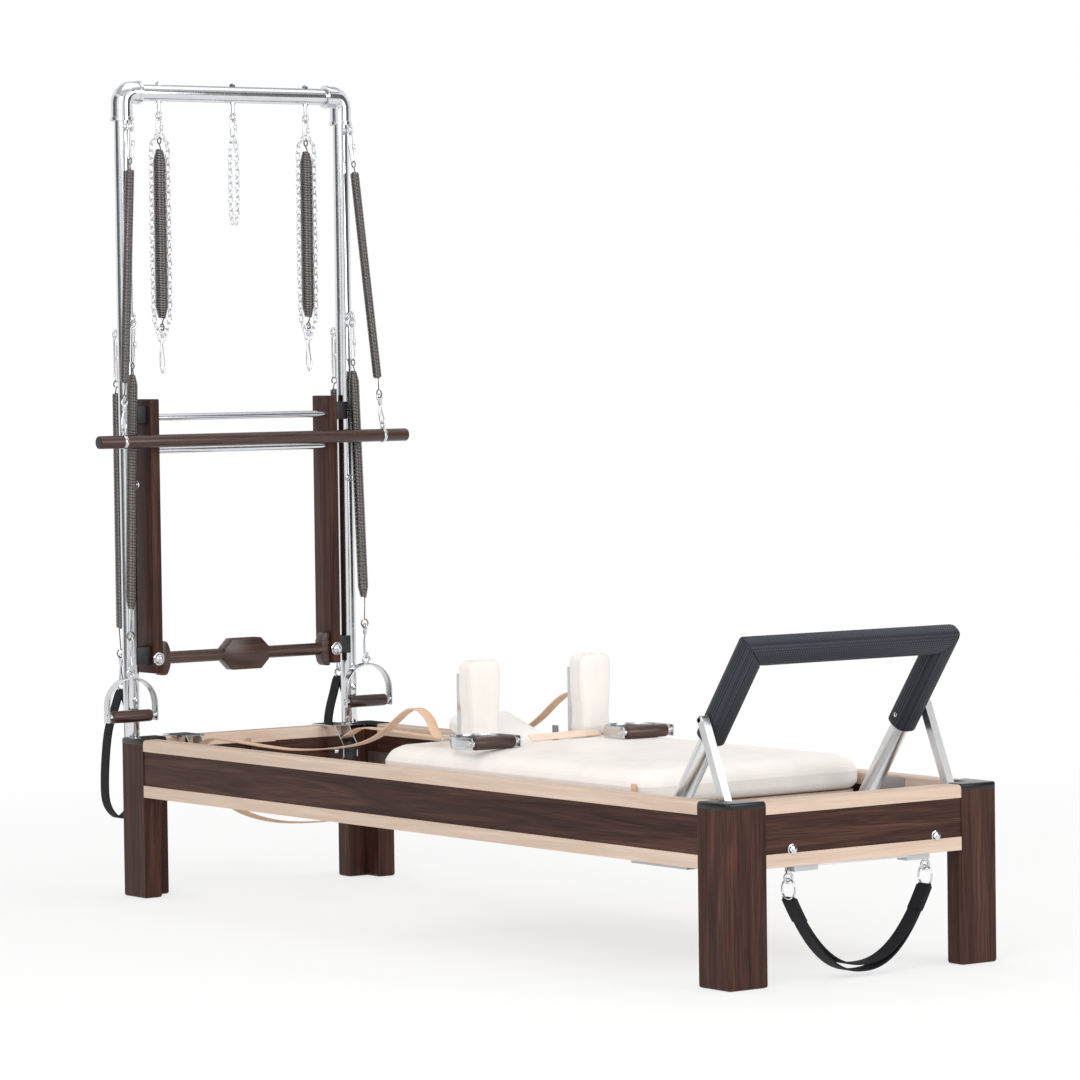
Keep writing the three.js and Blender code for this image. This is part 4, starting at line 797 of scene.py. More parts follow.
def quick_link(name, top, away, side, length, width=HARDWARE_WIDTH, wire=HARDWARE_WIRE):
    """A stretched steel link with its screw sleeve on one side."""
    away, side = away.normalized(), side.normalized()
    loop = tube(name, stadium(top, away, side, length, width, wire, 8), wire, closed=True,
                corners=3)
    edge = side * (width / 2 - wire) * MM
    middle = top + edge + away * (length / 2 - wire) * MM
    reach = min(7.0, length / 5)
    sleeve = turned(name + "_sleeve", [(-reach, 0), (-reach, wire + 1), (-reach + 1, wire + 1.7),
                                       (reach - 1, wire + 1.7), (reach, wire + 1), (reach, 0)],
                    middle, away, 12)
    return [loop, sleeve]


def snap_hook(name, top, away, side, length):
    """A swivel snap hook: eye, barrel, curved hook and sprung gate."""
    away, side = away.normalized(), side.normalized()

    def spot(down, out):
        return top + away * down * MM + side * out * MM
    eye = ring(name + "_eye", spot(HOOK_EYE, 0), away.cross(side), HOOK_EYE, HARDWARE_WIRE)
    barrel_top, barrel_end = 2 * HOOK_EYE, 2 * HOOK_EYE + 13
    profile = [(0, 0), (0, 3.4), (2, 5), (9, 5), (11, 3.6), (13, 3), (13, 0)]
    barrel = turned(name + "_barrel", profile, spot(barrel_top, 0), away, 20)

    def share_spot(share, out):
        return spot(barrel_end + (length - barrel_end) * share, out)
    bow = [share_spot(0.2, -3.2), share_spot(0.5, -5.5), share_spot(0.8, -5)]
    tip = [share_spot(0.85, 5.6), share_spot(0.68, 6.4)]
    hook = flowing([spot(barrel_end - 1, 0), *bow, spot(length - 2.6, 0), *tip], 5)
    gate = flowing([share_spot(0.7, 6), share_spot(0.3, 1.5), spot(barrel_end + 1, 0.5)], 4)
    return [eye, barrel, tube(name + "_hook", hook, 2.5, corners=3),
            tube(name + "_gate", gate, 1.5, corners=2)]


def eye_bolt(name, place, out, normal, reach, radius=EYE_RING, wire=EYE_WIRE):
    """A bolt with a closed eye at its end: reach is the length of its shank."""
    out = out.normalized()
    parts = [bar(name + "_shank", place - out * 2 * MM, place + out * (reach + 1) * MM, SHANK, 4),
             ring(name + "_ring", place + out * (reach + radius) * MM, normal, radius, wire)]
    nut = turned(name + "_nut", [(-1, 0), (-1, 8), (0.6, 8), (0.8, 6.6), (4.6, 6.6), (5.2, 5.9),
                                 (5.2, 0)], place, out, 12)
    return parts + [nut]


# Springs: outer radius and wire, then depths from the eye that holds the spring: the top ring's
# upper side, and the first and last turn of the body. The cone is the stretch that tapers.
ROLL_SPRING = {"radius": 11.0, "wire": 1.6, "head": 70, "start": 96, "end": 590, "cone": 3.4}
ARM_SPRING = {"radius": 13.0, "wire": 1.7, "head": 84, "start": 112, "end": 654, "cone": 24}
LEG_SPRING = {"radius": 10.5, "wire": 1.6, "head": 104, "start": 132, "end": 680, "cone": 3.4}
HANG_SPRING = {"radius": 15.7, "wire": 1.9, "head": 46, "start": 74, "end": 466, "cone": 26}
SHORT_CONE = 8
SPRING_RING, LOADED_RING = 7.2, 9.5
RING_OPEN_TURN, RING_TURN, RING_STEPS = 32, 328, 18
TURN_STEPS = 14
SNAP_OVERLAP, SNAP_GRIP = 8, 2.6
LOADED_NECK, SHORTEST_FOOT = 44, 62


def spring_wire(name, start, end, spec, hook_side, foot_side):
    """One unbroken wire: a ring at the top, its neck, the close turns of the body, and the same
    again at its foot."""
    axis = (end - start).normalized()
    total = (end - start).length / MM
    a = (hook_side - axis * hook_side.dot(axis)).normalized()
    b = axis.cross(a).normalized()
    foot = (foot_side - axis * foot_side.dot(axis)).normalized()
    radius, wire = spec["radius"] - spec["wire"], spec["wire"]

    def end_ring(depth, sense, side, size):
        middle = depth + sense * size
        points = []
        for i in range(RING_STEPS + 1):
            angle = math.radians(RING_OPEN_TURN) + i / RING_STEPS * math.radians(RING_TURN)
            points.append(start + axis * (middle + sense * size * math.cos(angle)) * MM
                          + side * size * math.sin(angle) * MM)
        return points
    body = spec["end"] - spec["start"]
    turns = int(body / (2 * wire * 1.03))
    steps = turns * TURN_STEPS
    tip = 2 * wire if spec["cone"] < SHORT_CONE else radius / 2
    helix = []
    for i in range(steps + 1):
        depth = spec["start"] + body * i / steps
        share = min(1.0, min(depth - spec["start"], spec["end"] - depth) / spec["cone"])
        out = tip + (radius - tip) * share
        angle = 2 * math.pi * i / TURN_STEPS
        helix.append(start + axis * depth * MM
                     + (a * math.cos(angle) + b * math.sin(angle)) * out * MM)
    upper = end_ring(spec["head"], 1, a, SPRING_RING)
    lower = end_ring(total - spec["foot"], -1, foot, spec["foot_ring"])
    return tube(name, upper + helix + lower[::-1], wire, corners=1, degrees=80)


def hung_spring(name, start, end, spec, top_side, end_side, loaded=True):
    """The spring with the link that holds it and the snap hook at its foot. A loaded one has a
    longer neck and a bigger ring there, and its hook closes round what hangs from it."""
    axis = (end - start).normalized()
    total = (end - start).length / MM
    foot_reach = total - spec["end"] - (spec["start"] - spec["head"])
    if loaded:
        foot_reach -= min(LOADED_NECK, max(0, foot_reach - SHORTEST_FOOT))
    spec = dict(spec, foot=foot_reach, foot_ring=LOADED_RING if loaded else SPRING_RING)
    wire = spring_wire(name, start, end, spec, axis.cross(top_side), axis.cross(end_side))
    link = quick_link(name + "_link", start, axis, top_side,
                      spec["head"] + 2 * HARDWARE_WIRE + spec["wire"])
    snap_top = start + axis * (total - foot_reach - SNAP_OVERLAP) * MM
    snap = snap_hook(name + "_snap", snap_top, axis, end_side,
                     foot_reach + SNAP_OVERLAP + (SNAP_GRIP if loaded else 0))
    return wire, link + snap


CHAIN_LINK = {"length": 22, "width": 12.5, "wire": 1.5}


def chain(name, path):
    """Welded links along a path, each turned a quarter from the last."""
    length, width, wire = CHAIN_LINK["length"], CHAIN_LINK["width"], CHAIN_LINK["wire"]
    pattern = tube(name + "_pattern", stadium(Vector((0, 0, 0)), X, Y, length, width, wire, 5),
                   wire, closed=True, corners=1, degrees=80)
    runs = [0.0]
    for p, q in zip(path, path[1:]):
        runs.append(runs[-1] + (q - p).length)
    pitch = (length - 4 * wire) * MM
    count = max(1, int(runs[-1] / pitch))
    parts = []
    for i in range(count):
        reach = i * pitch
        k = max(j for j in range(len(path) - 1) if runs[j] <= reach + 1e-9)
        along = (path[k + 1] - path[k]).normalized()
        flat = across(along) if i % 2 else along.cross(across(along)).normalized()
        link = pattern.copy()
        link.data = pattern.data.copy()
        link.data.transform(standing(along, flat, along.cross(flat),
                                     path[k] + along * (reach - runs[k])))
        bpy.context.collection.objects.link(link)
        parts.append(link)
    bpy.data.objects.remove(pattern, do_unlink=True)
    return joined(name, parts)


def hex_bolt(name, place, out, size=8.0):
    """Washer, hexagon head and the rounded end of its stud."""
    washer = turned(name + "_washer", [(0, 0), (0, size * 1.35), (1.2, size * 1.35),
                                       (1.6, size * 1.2), (1.6, 0)], place, out, 28)
    head = turned(name + "_head", [(1.5, 0), (1.5, size), (5.6, size), (6.4, size * 0.82),
                                   (6.4, 0)], place, out, 6)
    stud = turned(name + "_stud", [(6, 0), (6, size * 0.55), (7.6, size * 0.5), (8.4, size * 0.3),
                                   (8.6, 0)], place, out, 20)
    return [washer, head, stud]


# ---------------------------------------------------------------- bed
BED = {"length": 2240, "half": 350}
CAP = {"face": 95.1, "over": 0.8, "flange": 45, "low": 352.5, "tall": 15, "ease": 4.5}
FOOT_PLATE = {"start": 2201, "end": 2231, "half": 117, "low": 229.5, "top": 234}
BELT = {"at": 2214, "half": 178, "wide": 38, "thick": 3.5, "low": 10, "ply": 13, "sag_power": 2.3}
BELT_EYE_UP, BELT_EYE_SHANK = 222, 4
RAIL_BOLT = {"place": (2237.6, 187, 267), "size": 8.4}


def cap_outline():
    """A corner cap from above: an angle over the leg, its outer corner rounded."""
    face, over, flange = CAP["face"], -CAP["over"], CAP["flange"]
    inner = [(face, over), (face, flange), (flange, flange), (flange, face), (over, face)]
    return [(9, over), *inner, (over, 9), (0.2, 5), (2.2, 2.2), (5, 0.2)]


def build_bed():
    dress(walnut_z, "leg_tower_near", "leg_tower_far", "leg_foot_near", "leg_foot_far")
    dress(rail_side, "side_rail_near", "side_rail_far")
    dress(rail_end, "foot_rail", "tower_rail")
    dress(brushed, "track_near", "track_far")
    dress(satin, "spring_bar")
    p = FOOT_PLATE
    plate = block("foot_rail_plate", (p["start"], -p["half"], p["low"]),
                  (p["end"], p["half"], p["top"]), 0.6, 2)
    piece(plate, "frame", brushed, "aluminium")
    for end in ("tower", "foot"):
        for name, side in NEAR_FAR:
            outline = [at(BED["length"] - a if end == "foot" else a, side * (BED["half"] - b),
                          CAP["low"]) for a, b in cap_outline()]
            cap = prism(f"corner_cap_{end}_{name}", outline, Z * CAP["tall"] * MM, CAP["ease"], 5)
            piece(cap, "frame", cap_plastic, "black_plastic")
    for name, side in NEAR_FAR:
        bolts = hex_bolt(f"foot_rail_bolt_{name}", at(*beside(side, RAIL_BOLT["place"])), X,
                         RAIL_BOLT["size"])
        piece(joined(f"foot_rail_bolt_{name}", bolts), "frame", chrome, "chrome")
        eye = eye_bolt(f"belt_eye_{name}", at(BELT["at"], side * BELT["half"], BELT_EYE_UP), -Z,
                       X, BELT_EYE_SHANK)
        piece(joined(f"belt_eye_{name}", eye), "frame", chrome, "chrome")


# ---------------------------------------------------------------- carriage
CUSHION = {"start": 960, "end": 1902, "half": 295, "corner": 50, "low": 332.6, "top": 411,
           "bay_half": 92, "bay_end": 1114, "bay_ease": 12}
PULL_TAB = (1866, -299, 362), (1880, -293.5, 380)
CORNER_STEPS = 6

# How far a pad's face falls away, in millimetres, at each inset from its outline
CUSHION_CROWN = ((0, 39), (4, 27.5), (15, 16.5), (42, 6), (100, 0), (400, -1.4))
CUSHION_UNDER = ((0, 15), (4, 8.5), (12, 3), (24, 0), (400, 0))
SHOULDER_CROWN = ((0, 9.6), (2, 4), (6, 2), (18, 0), (60, -1.2))
HEADREST_CROWN = ((0, 24), (2.5, 16), (9, 8.5), (24, 2.5), (45, 0), (90, -1.5))
HEADREST_UNDER = ((0, 6), (6, 0), (90, 0))


def cushion_outline():
    """The cushion with the open bay that takes the headrest, its corners eased."""
    c = CUSHION
    middle, half_long = (c["start"] + c["end"]) / 2, (c["end"] - c["start"]) / 2
    whole = [(a + middle, b) for a, b in rounded(half_long, c["half"], c["corner"], CORNER_STEPS)]
    start, end, bay, ease = c["start"], c["bay_end"], c["bay_half"], c["bay_ease"]
    nip = ease * 0.3
    far = [(start, bay + ease), (start + nip, bay + nip), (start + ease, bay),
           (end - ease, bay), (end - nip, bay - nip), (end, bay - ease)]
    near = [(x, -y) for x, y in reversed(far)]
    two_corners = 2 * (CORNER_STEPS + 1)
    return whole[:two_corners] + far + near + whole[two_corners:]


def build_carriage():
    dress(plywood, "carriage_platform")
    dress(black_plastic, "wheelset_tower", "wheelset_foot")
    dress(satin, "shoulder_bracket_near", "shoulder_bracket_far")
    c = CUSHION
    place = Matrix.Translation((-MIDDLE * MM, 0, 0))
    cushion = pad("carriage_cushion_cover", cushion_outline(), c["low"], c["top"], CUSHION_CROWN,
                  voxel=6.0, place=place, under=CUSHION_UNDER, rounds=8)
    piece(cushion, "carriage", cream, "vinyl", "carriage_cushion")
    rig.padded(cushion, 0.9)
    tab = block("cushion_pull_tab", *PULL_TAB, 1.2, 3)
    piece(tab, "carriage", tan_leather, "leather")
    for name, side in NEAR_FAR:
        build_shoulder_rest(name, side)


SEAM_WIRE = 0.9
REST = {"at": 1117, "side": 149, "low": 411.3, "half_tall": 88.5, "half_wide": 40, "corner": 20,
        "thick": 53, "seam": 8.5, "waist": 5, "waist_share": 0.22, "waist_spread": 0.2}


def rest_shape():
    """Front outline of a shoulder rest, drawn in a little low down where the neck lies. Its long
    sides get steps, so that they can curve."""
    r, steps = REST, 12
    outline = rounded(r["half_tall"], r["half_wide"], r["corner"], CORNER_STEPS)
    filled = []
    for (a, b), (a2, b2) in zip(outline, outline[1:] + outline[:1]):
        filled.append((a, b))
        if abs(a2 - a) > r["half_wide"]:
            filled += [(a + (a2 - a) * k / steps, b + (b2 - b) * k / steps)
                       for k in range(1, steps)]
    tall, draw = 2 * r["half_tall"], r["waist"] / r["half_wide"]
    depths = [((a / tall + r["waist_share"]) / r["waist_spread"]) ** 2 for a, _ in filled]
    return [(a, b * (1 - draw * math.exp(-depth))) for (a, b), depth in zip(filled, depths)]


def build_shoulder_rest(name, side):
    r, outline = REST, rest_shape()
    upright = standing(Z, -Y, X, at(r["at"], side * r["side"], r["low"] + r["half_tall"]))
    rest = pad(f"shoulder_pad_{name}", outline, 0, r["thick"], SHOULDER_CROWN,
               voxel=3.0, place=upright, under=SHOULDER_CROWN, rounds=5)
    piece(rest, "carriage", cream, "vinyl", f"shoulder_rest_{name}")
    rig.padded(rest, 0.95)
    spot = within(upright)
    for which, depth in (("front", r["thick"] - r["seam"]), ("back", r["seam"])):
        edge = [spot(a, b, depth) for a, b in outline]
        piping = tube(f"shoulder_seam_{which}_{name}", edge, SEAM_WIRE, closed=True, corners=2)
        piece(piping, "carriage", cream, "vinyl")


HEADREST = {"pin_at": 1100, "pin_up": 372.6, "pin_half": 87.6, "tilt": 17.7, "back": 98,
            "half_long": 89, "half_wide": 82, "corner": 18, "low": -6.6, "top": 39.4, "seam": 2}
LEAF_LOW, LEAF_TOP = (1082, 56, 367.5), (1104, 64, 377)


def build_headrest():
    h = HEADREST
    pin_at, pin_up = h["pin_at"], h["pin_up"]
    place = (Matrix.Translation(at(pin_at, 0, pin_up))
             @ Matrix.Rotation(math.radians(h["tilt"]), 4, "Y"))
    outline = [(a - h["back"], b)
               for a, b in rounded(h["half_long"], h["half_wide"], h["corner"], 5)]
    head = pad("headrest_pad", outline, h["low"], h["top"], HEADREST_CROWN,
               voxel=3.6, place=place, under=HEADREST_UNDER, rounds=6)
    piece(head, "headrest", white_vinyl, "vinyl", "headrest")
    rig.padded(head, 0.95)
    spot = within(place)
    seam = tube("headrest_seam", [spot(a, b, h["seam"]) for a, b in outline], SEAM_WIRE,
                closed=True, corners=2)
    piece(seam, "headrest", white_vinyl, "vinyl")
    pin = bar("headrest_pin", at(pin_at, -h["pin_half"], pin_up),
              at(pin_at, h["pin_half"], pin_up), 5)
    leaves = [block(f"leaf_{name}", beside(side, LEAF_LOW), beside(side, LEAF_TOP), 1)
              for name, side in NEAR_FAR]
    piece(joined("headrest_pin", [pin, *leaves]), "headrest", satin, "chrome")


# Springs under the carriage: from its bar to the spring channel's face
BED_SPRING = {"radius": 11.5, "wire": 2.0, "up": 257, "bar": 1500, "face": 2164.7, "neck": 34,
              "cone": 14, "count": 4, "pitch": 90, "draw": (1530, 2134)}


def build_bed_springs():
    s = BED_SPRING
    start, end = s["bar"] + s["neck"], s["face"] - s["neck"]
    tip = s["wire"]
    rise = s["radius"] - s["wire"] - tip
    steps = int((end - start) / (2 * s["wire"] * 1.02)) * TURN_STEPS
    for i in range(s["count"]):
        y = (i - (s["count"] - 1) / 2) * s["pitch"]
        points = [at(s["bar"] - 12, y, s["up"]), at(start - 4, y, s["up"])]
        for k in range(steps + 1):
            along = start + (end - start) * k / steps
            out = tip + rise * min(1.0, min(along - start, end - along) / s["cone"])
            angle = 2 * math.pi * k / TURN_STEPS
            points.append(at(along, y + out * math.cos(angle), s["up"] + out * math.sin(angle)))
        points += [at(end + 4, y, s["up"]), at(s["face"] + 8, y, s["up"])]
        wire = tube(f"bed_spring_{i + 1}", points, s["wire"], corners=1, degrees=80)
        knobs = [turned(f"knob_{i}_{k}", [(0, 0), (0, 5), (1, 6), (4, 6), (5, 4.6), (5, 0)],
                        at(x, y, s["up"]), X * sense, 16)
                 for k, (x, sense) in enumerate(((s["bar"] - 8.4, -1), (s["face"] + 4.4, 1)))]
        spring = joined(f"bed_spring_{i + 1}", [wire, *knobs])
        stretched(spring, bronze_grey, "spring_steel", ("carriage", "frame"),
                  *(at(x, y, s["up"]) for x in s["draw"]), f"carriage_spring_{i + 1}")


# ---------------------------------------------------------------- foot bar
# The bar in its own plane: heights are from its pivot, along the leaning arms
BAR = {"pivot": 1940, "up": 310, "lean": 54.1, "reach": 430, "half": 250, "radius": 19, "bend": 30,
       "foot": -24, "nut_side": 231}
BRACE_PIN = {"up": 259, "end": 302, "nut": 299, "radius": 5}
BAR_PAD = {"wide": 55.0, "corner": 22, "low": 210, "rivet_up": 236}


def build_foot_bar():
    half, reach, bend = BAR["half"], BAR["reach"], BAR["bend"]
    spot = within(Matrix.Translation(at(BAR["pivot"], 0, BAR["up"]))
                  @ Matrix.Rotation(math.radians(90 - BAR["lean"]), 4, "Y"))
    path = [spot(0, -half, BAR["foot"])]
    for side in (-1, 1):
        for i in range(9):
            share = i / 8 if side < 0 else 1 - i / 8
            angle = share * math.pi / 2
            path.append(spot(0, side * (half - bend + bend * math.cos(angle)),
                             reach - bend + bend * math.sin(angle)))
    path.append(spot(0, half, BAR["foot"]))
    parts = [tube("foot_bar_tube", path, BAR["radius"], corners=10)]
    pin = BRACE_PIN
    for name, side in NEAR_FAR:
        parts.append(bar(f"brace_pin_{name}", spot(0, side * half, pin["up"]),
                         spot(0, side * pin["end"], pin["up"]), pin["radius"], 4))
        parts.append(turned(f"brace_nut_{name}", [(0, 0), (0, 8), (2.4, 8), (3, 6.5), (3, 0)],
                            spot(0, side * pin["nut"], pin["up"]), Y * side, 6))
        parts.append(turned(f"pivot_nut_{name}", [(-2, 0), (-2, 11), (3, 11), (4.4, 9), (4.4, 0)],
                            spot(0, side * BAR["nut_side"], 0), Y * -side, 6))
    piece(joined("foot_bar_tube", parts), "foot_bar", brushed, "aluminium", "foot_bar")
    build_bar_pad(spot, half, reach)
    dress(brushed, "foot_bar_brace_near", "foot_bar_brace_far")


def build_bar_pad(spot, half, reach):
    """The padded cover: a top rail and two arms, mitred at the corners."""
    wide, low = BAR_PAD["wide"], BAR_PAD["low"]
    outline = rounded(wide / 2, wide / 2, BAR_PAD["corner"], 6)
    up = spot(0, 0, 1) - spot(0, 0, 0)
    along = spot(0, 1, 0) - spot(0, 0, 0)
    top = [spot(a, -half - wide / 2, reach + b) for a, b in outline]
    rail = prism("bar_pad_top", top, along * (2 * half + wide))
    pads = [rail]
    for name, side in NEAR_FAR:
        base = [spot(a, side * half + b, low) for a, b in outline]
        arm = prism(f"bar_pad_arm_{name}", base, up * (reach - low + wide / 2))
        mitre = (up - along * side).normalized()
        sliced(rail, spot(0, side * half, reach), -mitre)
        sliced(arm, spot(0, side * half, reach), mitre)
        pads.append(arm)
    for cut in pads:
        eased(cut, 3.0, 3, 40)
    cover = joined("foot_bar_cover", pads)
    piece(cover, "foot_bar", slate_pad, "black_rubber", "foot_bar_pad")
    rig.padded(cover, 0.95)
    profile = [(0, 2.2), (0.4, 5), (1.6, 5), (2.2, 3.4), (1.4, 2.4), (0, 2.2)]
    for name, side in NEAR_FAR:
        rivet = turned(f"pad_rivet_{name}", profile,
                       spot(0, side * (half - wide / 2 - 0.2), BAR_PAD["rivet_up"]), Y * -side, 20)
        piece(rivet, "foot_bar", chrome, "chrome")


# ---------------------------------------------------------------- tower
POST_X, POST_Y, PIPE = -23, 306, 19
POST_TOP, TOP_UP = 1833, 1860
POST_FRONT, POST_BACK = -4.5, -41.5
POST_BOLTS = (66, 330, 450)
# Eyes on each post, with the lengths of their shanks. A loose ring hangs in the arm spring's.
ROLL_EYE = {"up": 1780, "shank": 11}
ARM_EYE = {"up": 1337, "shank": 5, "ring_up": 1322.6, "ring_wire": 2.6}
LEG_EYE = {"up": 1300, "shank": 15}
SIDE_EYE = {"at": -5, "inset": 6, "up": 952, "shank": 5, "radius": 7, "wire": 2.4}
ELBOW = {"radius": 25, "bend": 27, "down": 65, "in": 47}
ELBOW_LIP = [(0, 20), (0, 26.4), (0.8, 27), (8.2, 27), (9, 26.4), (9, 20)]
TOP_EYE_HALF, TOP_EYE_SHANK = 205, 25.5
TOP_NUT = [(18, 0), (18, 7.5), (24, 7.5), (25, 6.6), (25, 3.6), (26.4, 3.2), (26.6, 0)]
POST_BOLT_HEAD = [(0, 9), (1.5, 9), (4, 6.5), (5.4, 3), (5.6, 0)]
POST_STUD = [(0, 7.5), (2.2, 7.5), (3, 5), (6.4, 4.6), (7, 3.4), (7, 0)]


def front_eye(eye):
    """How far along the bed the middle of a post's front eye lies."""
    return POST_FRONT + eye["shank"] + EYE_RING


def build_posts():
    for name, side in NEAR_FAR:
        y = side * POST_Y
        parts = [bar(f"post_tube_{name}", at(POST_X, y, 0), at(POST_X, y, POST_TOP), PIPE, 12)]
        parts += eye_bolt("roll_eye", at(POST_FRONT, y, ROLL_EYE["up"]), X, Y, ROLL_EYE["shank"])
        parts += eye_bolt("arm_eye", at(POST_FRONT, y, ARM_EYE["up"]), X, Y, ARM_EYE["shank"])
        parts.append(ring("arm_eye_ring", at(front_eye(ARM_EYE), y, ARM_EYE["ring_up"]), X,
                          EYE_RING, ARM_EYE["ring_wire"]))
        parts += eye_bolt("leg_eye", at(POST_BACK, y, LEG_EYE["up"]), -X, Y, LEG_EYE["shank"])
        small = SIDE_EYE
        parts += eye_bolt("side_eye", at(small["at"], y - side * small["inset"], small["up"]), X, Y,
                          small["shank"], small["radius"], small["wire"])
        parts += [turned("post_bolt", POST_BOLT_HEAD, at(POST_BACK, y, z), -X, 24)
                  for z in POST_BOLTS]
        parts.append(turned("post_stud", POST_STUD, at(-4.6, y, POST_BOLTS[-1]), X, 20))
        piece(joined(f"post_tube_{name}", parts), "frame", chrome, "chrome", f"post_{name}")


def build_top_bar():
    parts = [bar("top_tube", at(POST_X, -282, TOP_UP), at(POST_X, 282, TOP_UP), PIPE, 12)]
    bend = ELBOW["bend"]
    for name, side in NEAR_FAR:
        points = [at(POST_X, side * POST_Y, TOP_UP - ELBOW["down"])]
        for i in range(13):
            angle = i / 12 * math.pi / 2
            points.append(at(POST_X, side * (POST_Y - bend * (1 - math.cos(angle))),
                             TOP_UP + bend * (math.sin(angle) - 1)))
        points.append(at(POST_X, side * (POST_Y - ELBOW["in"]), TOP_UP))
        parts.append(tube(f"elbow_{name}", points, ELBOW["radius"], corners=12))
        low_end = at(POST_X, side * POST_Y, TOP_UP - ELBOW["down"] - 1)
        in_end = at(POST_X, side * (POST_Y - ELBOW["in"] - 1), TOP_UP)
        parts.append(turned(f"elbow_lip_down_{name}", ELBOW_LIP, low_end, Z, 48))
        parts.append(turned(f"elbow_lip_in_{name}", ELBOW_LIP, in_end, Y * side, 48))
    for i, side in enumerate((-1, 0, 1)):
        y = side * TOP_EYE_HALF
        parts.append(turned(f"top_nut_{i}", TOP_NUT, at(POST_X, y, TOP_UP), Z, 6))
        parts += eye_bolt(f"top_eye_{i}", at(POST_X, y, TOP_UP - PIPE + 1), -Z, Y, TOP_EYE_SHANK)
    piece(joined("top_tube", parts), "frame", chrome, "chrome", "top_bar")


SLIDE = {"back": -60, "front": 10, "inner": 237, "outer": 262, "low": 511, "top": 1149}
SHOE = {"back": -46, "front": -2, "inner": 261, "outer": 300, "tall": 42, "lows": (532, 1092)}
SLIDE_WASHER = [(0, 0), (0, 15), (1.6, 15), (2.5, 14), (2.5, 0)]
SLIDE_DOME = [(2.4, 12.5), (5, 12.2), (8.6, 10), (11.4, 6), (12.4, 0)]
CROSS_RODS = (("upper", 1106), ("lower", 1030))
CROSS_ROD = {"at": -7, "radius": 8}
FOOT_REST = {"up": 545, "rod_at": -12, "rod_half": 230, "radius": 14.5, "back": -27, "thick": 30}
REST_MIDDLE = [(-63, 15), (-41, 37), (41, 37), (63, 15), (63, -15), (41, -37), (-41, -37),
               (-63, -15)]
REST_END = [(0, 40), (12.5, 40), (18, 36), (23, 24), (25, 17), (25, -17), (23, -24), (18, -36),
            (12.5, -40), (0, -40)]


def build_slide_frame():
    c, shoe, rest = SLIDE, SHOE, FOOT_REST
    for name, side in NEAR_FAR:
        column = block(f"slide_column_board_{name}", (c["back"], side * c["inner"], c["low"]),
                       (c["front"], side * c["outer"], c["top"]), 2.5, 4)
        piece(column, "slide_frame", walnut_z, "walnut", f"slide_column_{name}")
        shoes = [block(f"shoe_{name}_{i}", (shoe["back"], side * shoe["inner"], z),
                       (shoe["front"], side * shoe["outer"], z + shoe["tall"]), 2, 3)
                 for i, z in enumerate(shoe["lows"])]
        piece(joined(f"slide_shoe_{name}", shoes), "slide_frame", black_plastic, "black_plastic")
        seat = at(c["front"], side * (c["inner"] + c["outer"]) / 2, rest["up"])
        bolt = [turned("washer", SLIDE_WASHER, seat, X, 36),
                turned("dome", SLIDE_DOME, seat, X, 32)]
        piece(joined(f"slide_bolt_{name}", bolt), "slide_frame", chrome, "chrome")
    for name, z in CROSS_RODS:
        rod = bar(f"cross_rod_{name}", at(CROSS_ROD["at"], -c["inner"], z),
                  at(CROSS_ROD["at"], c["inner"], z), CROSS_ROD["radius"], 8)
        piece(rod, "slide_frame", chrome, "chrome", f"slide_cross_rod_{name}")

    push = X * rest["thick"] * MM
    parts = [bar("foot_rest_rod", at(rest["rod_at"], -rest["rod_half"], rest["up"]),
                 at(rest["rod_at"], rest["rod_half"], rest["up"]), rest["radius"], 10)]
    middle = [at(rest["back"], a, rest["up"] + b) for a, b in REST_MIDDLE]
    parts.append(prism("foot_rest_paddle", middle, push, 2.8, 3))
    for name, side in NEAR_FAR:
        end = [at(rest["back"], side * (c["inner"] - GAP - a), rest["up"] + b) for a, b in REST_END]
        parts.append(prism(f"foot_rest_end_{name}", end, push, 4, 4))
    piece(joined("foot_rest_bar", parts), "slide_frame", walnut_turned, "walnut", "slide_foot_rest")


# ---------------------------------------------------------------- springs on the tower
ROLL_BAR = {"at": 54, "up": 1052.5, "half": 430.5, "band_half": 362}
ROLL_SHARES = 0.13, 0.87
BAND_EYE_UP, BAND_EYE, BAND_WIRE = 1077.5, 7.5, 2
BAND = [(-4, 14.6), (-4, 16.1), (-3.2, 16.5), (3.2, 16.5), (4, 16.1), (4, 14.6)]


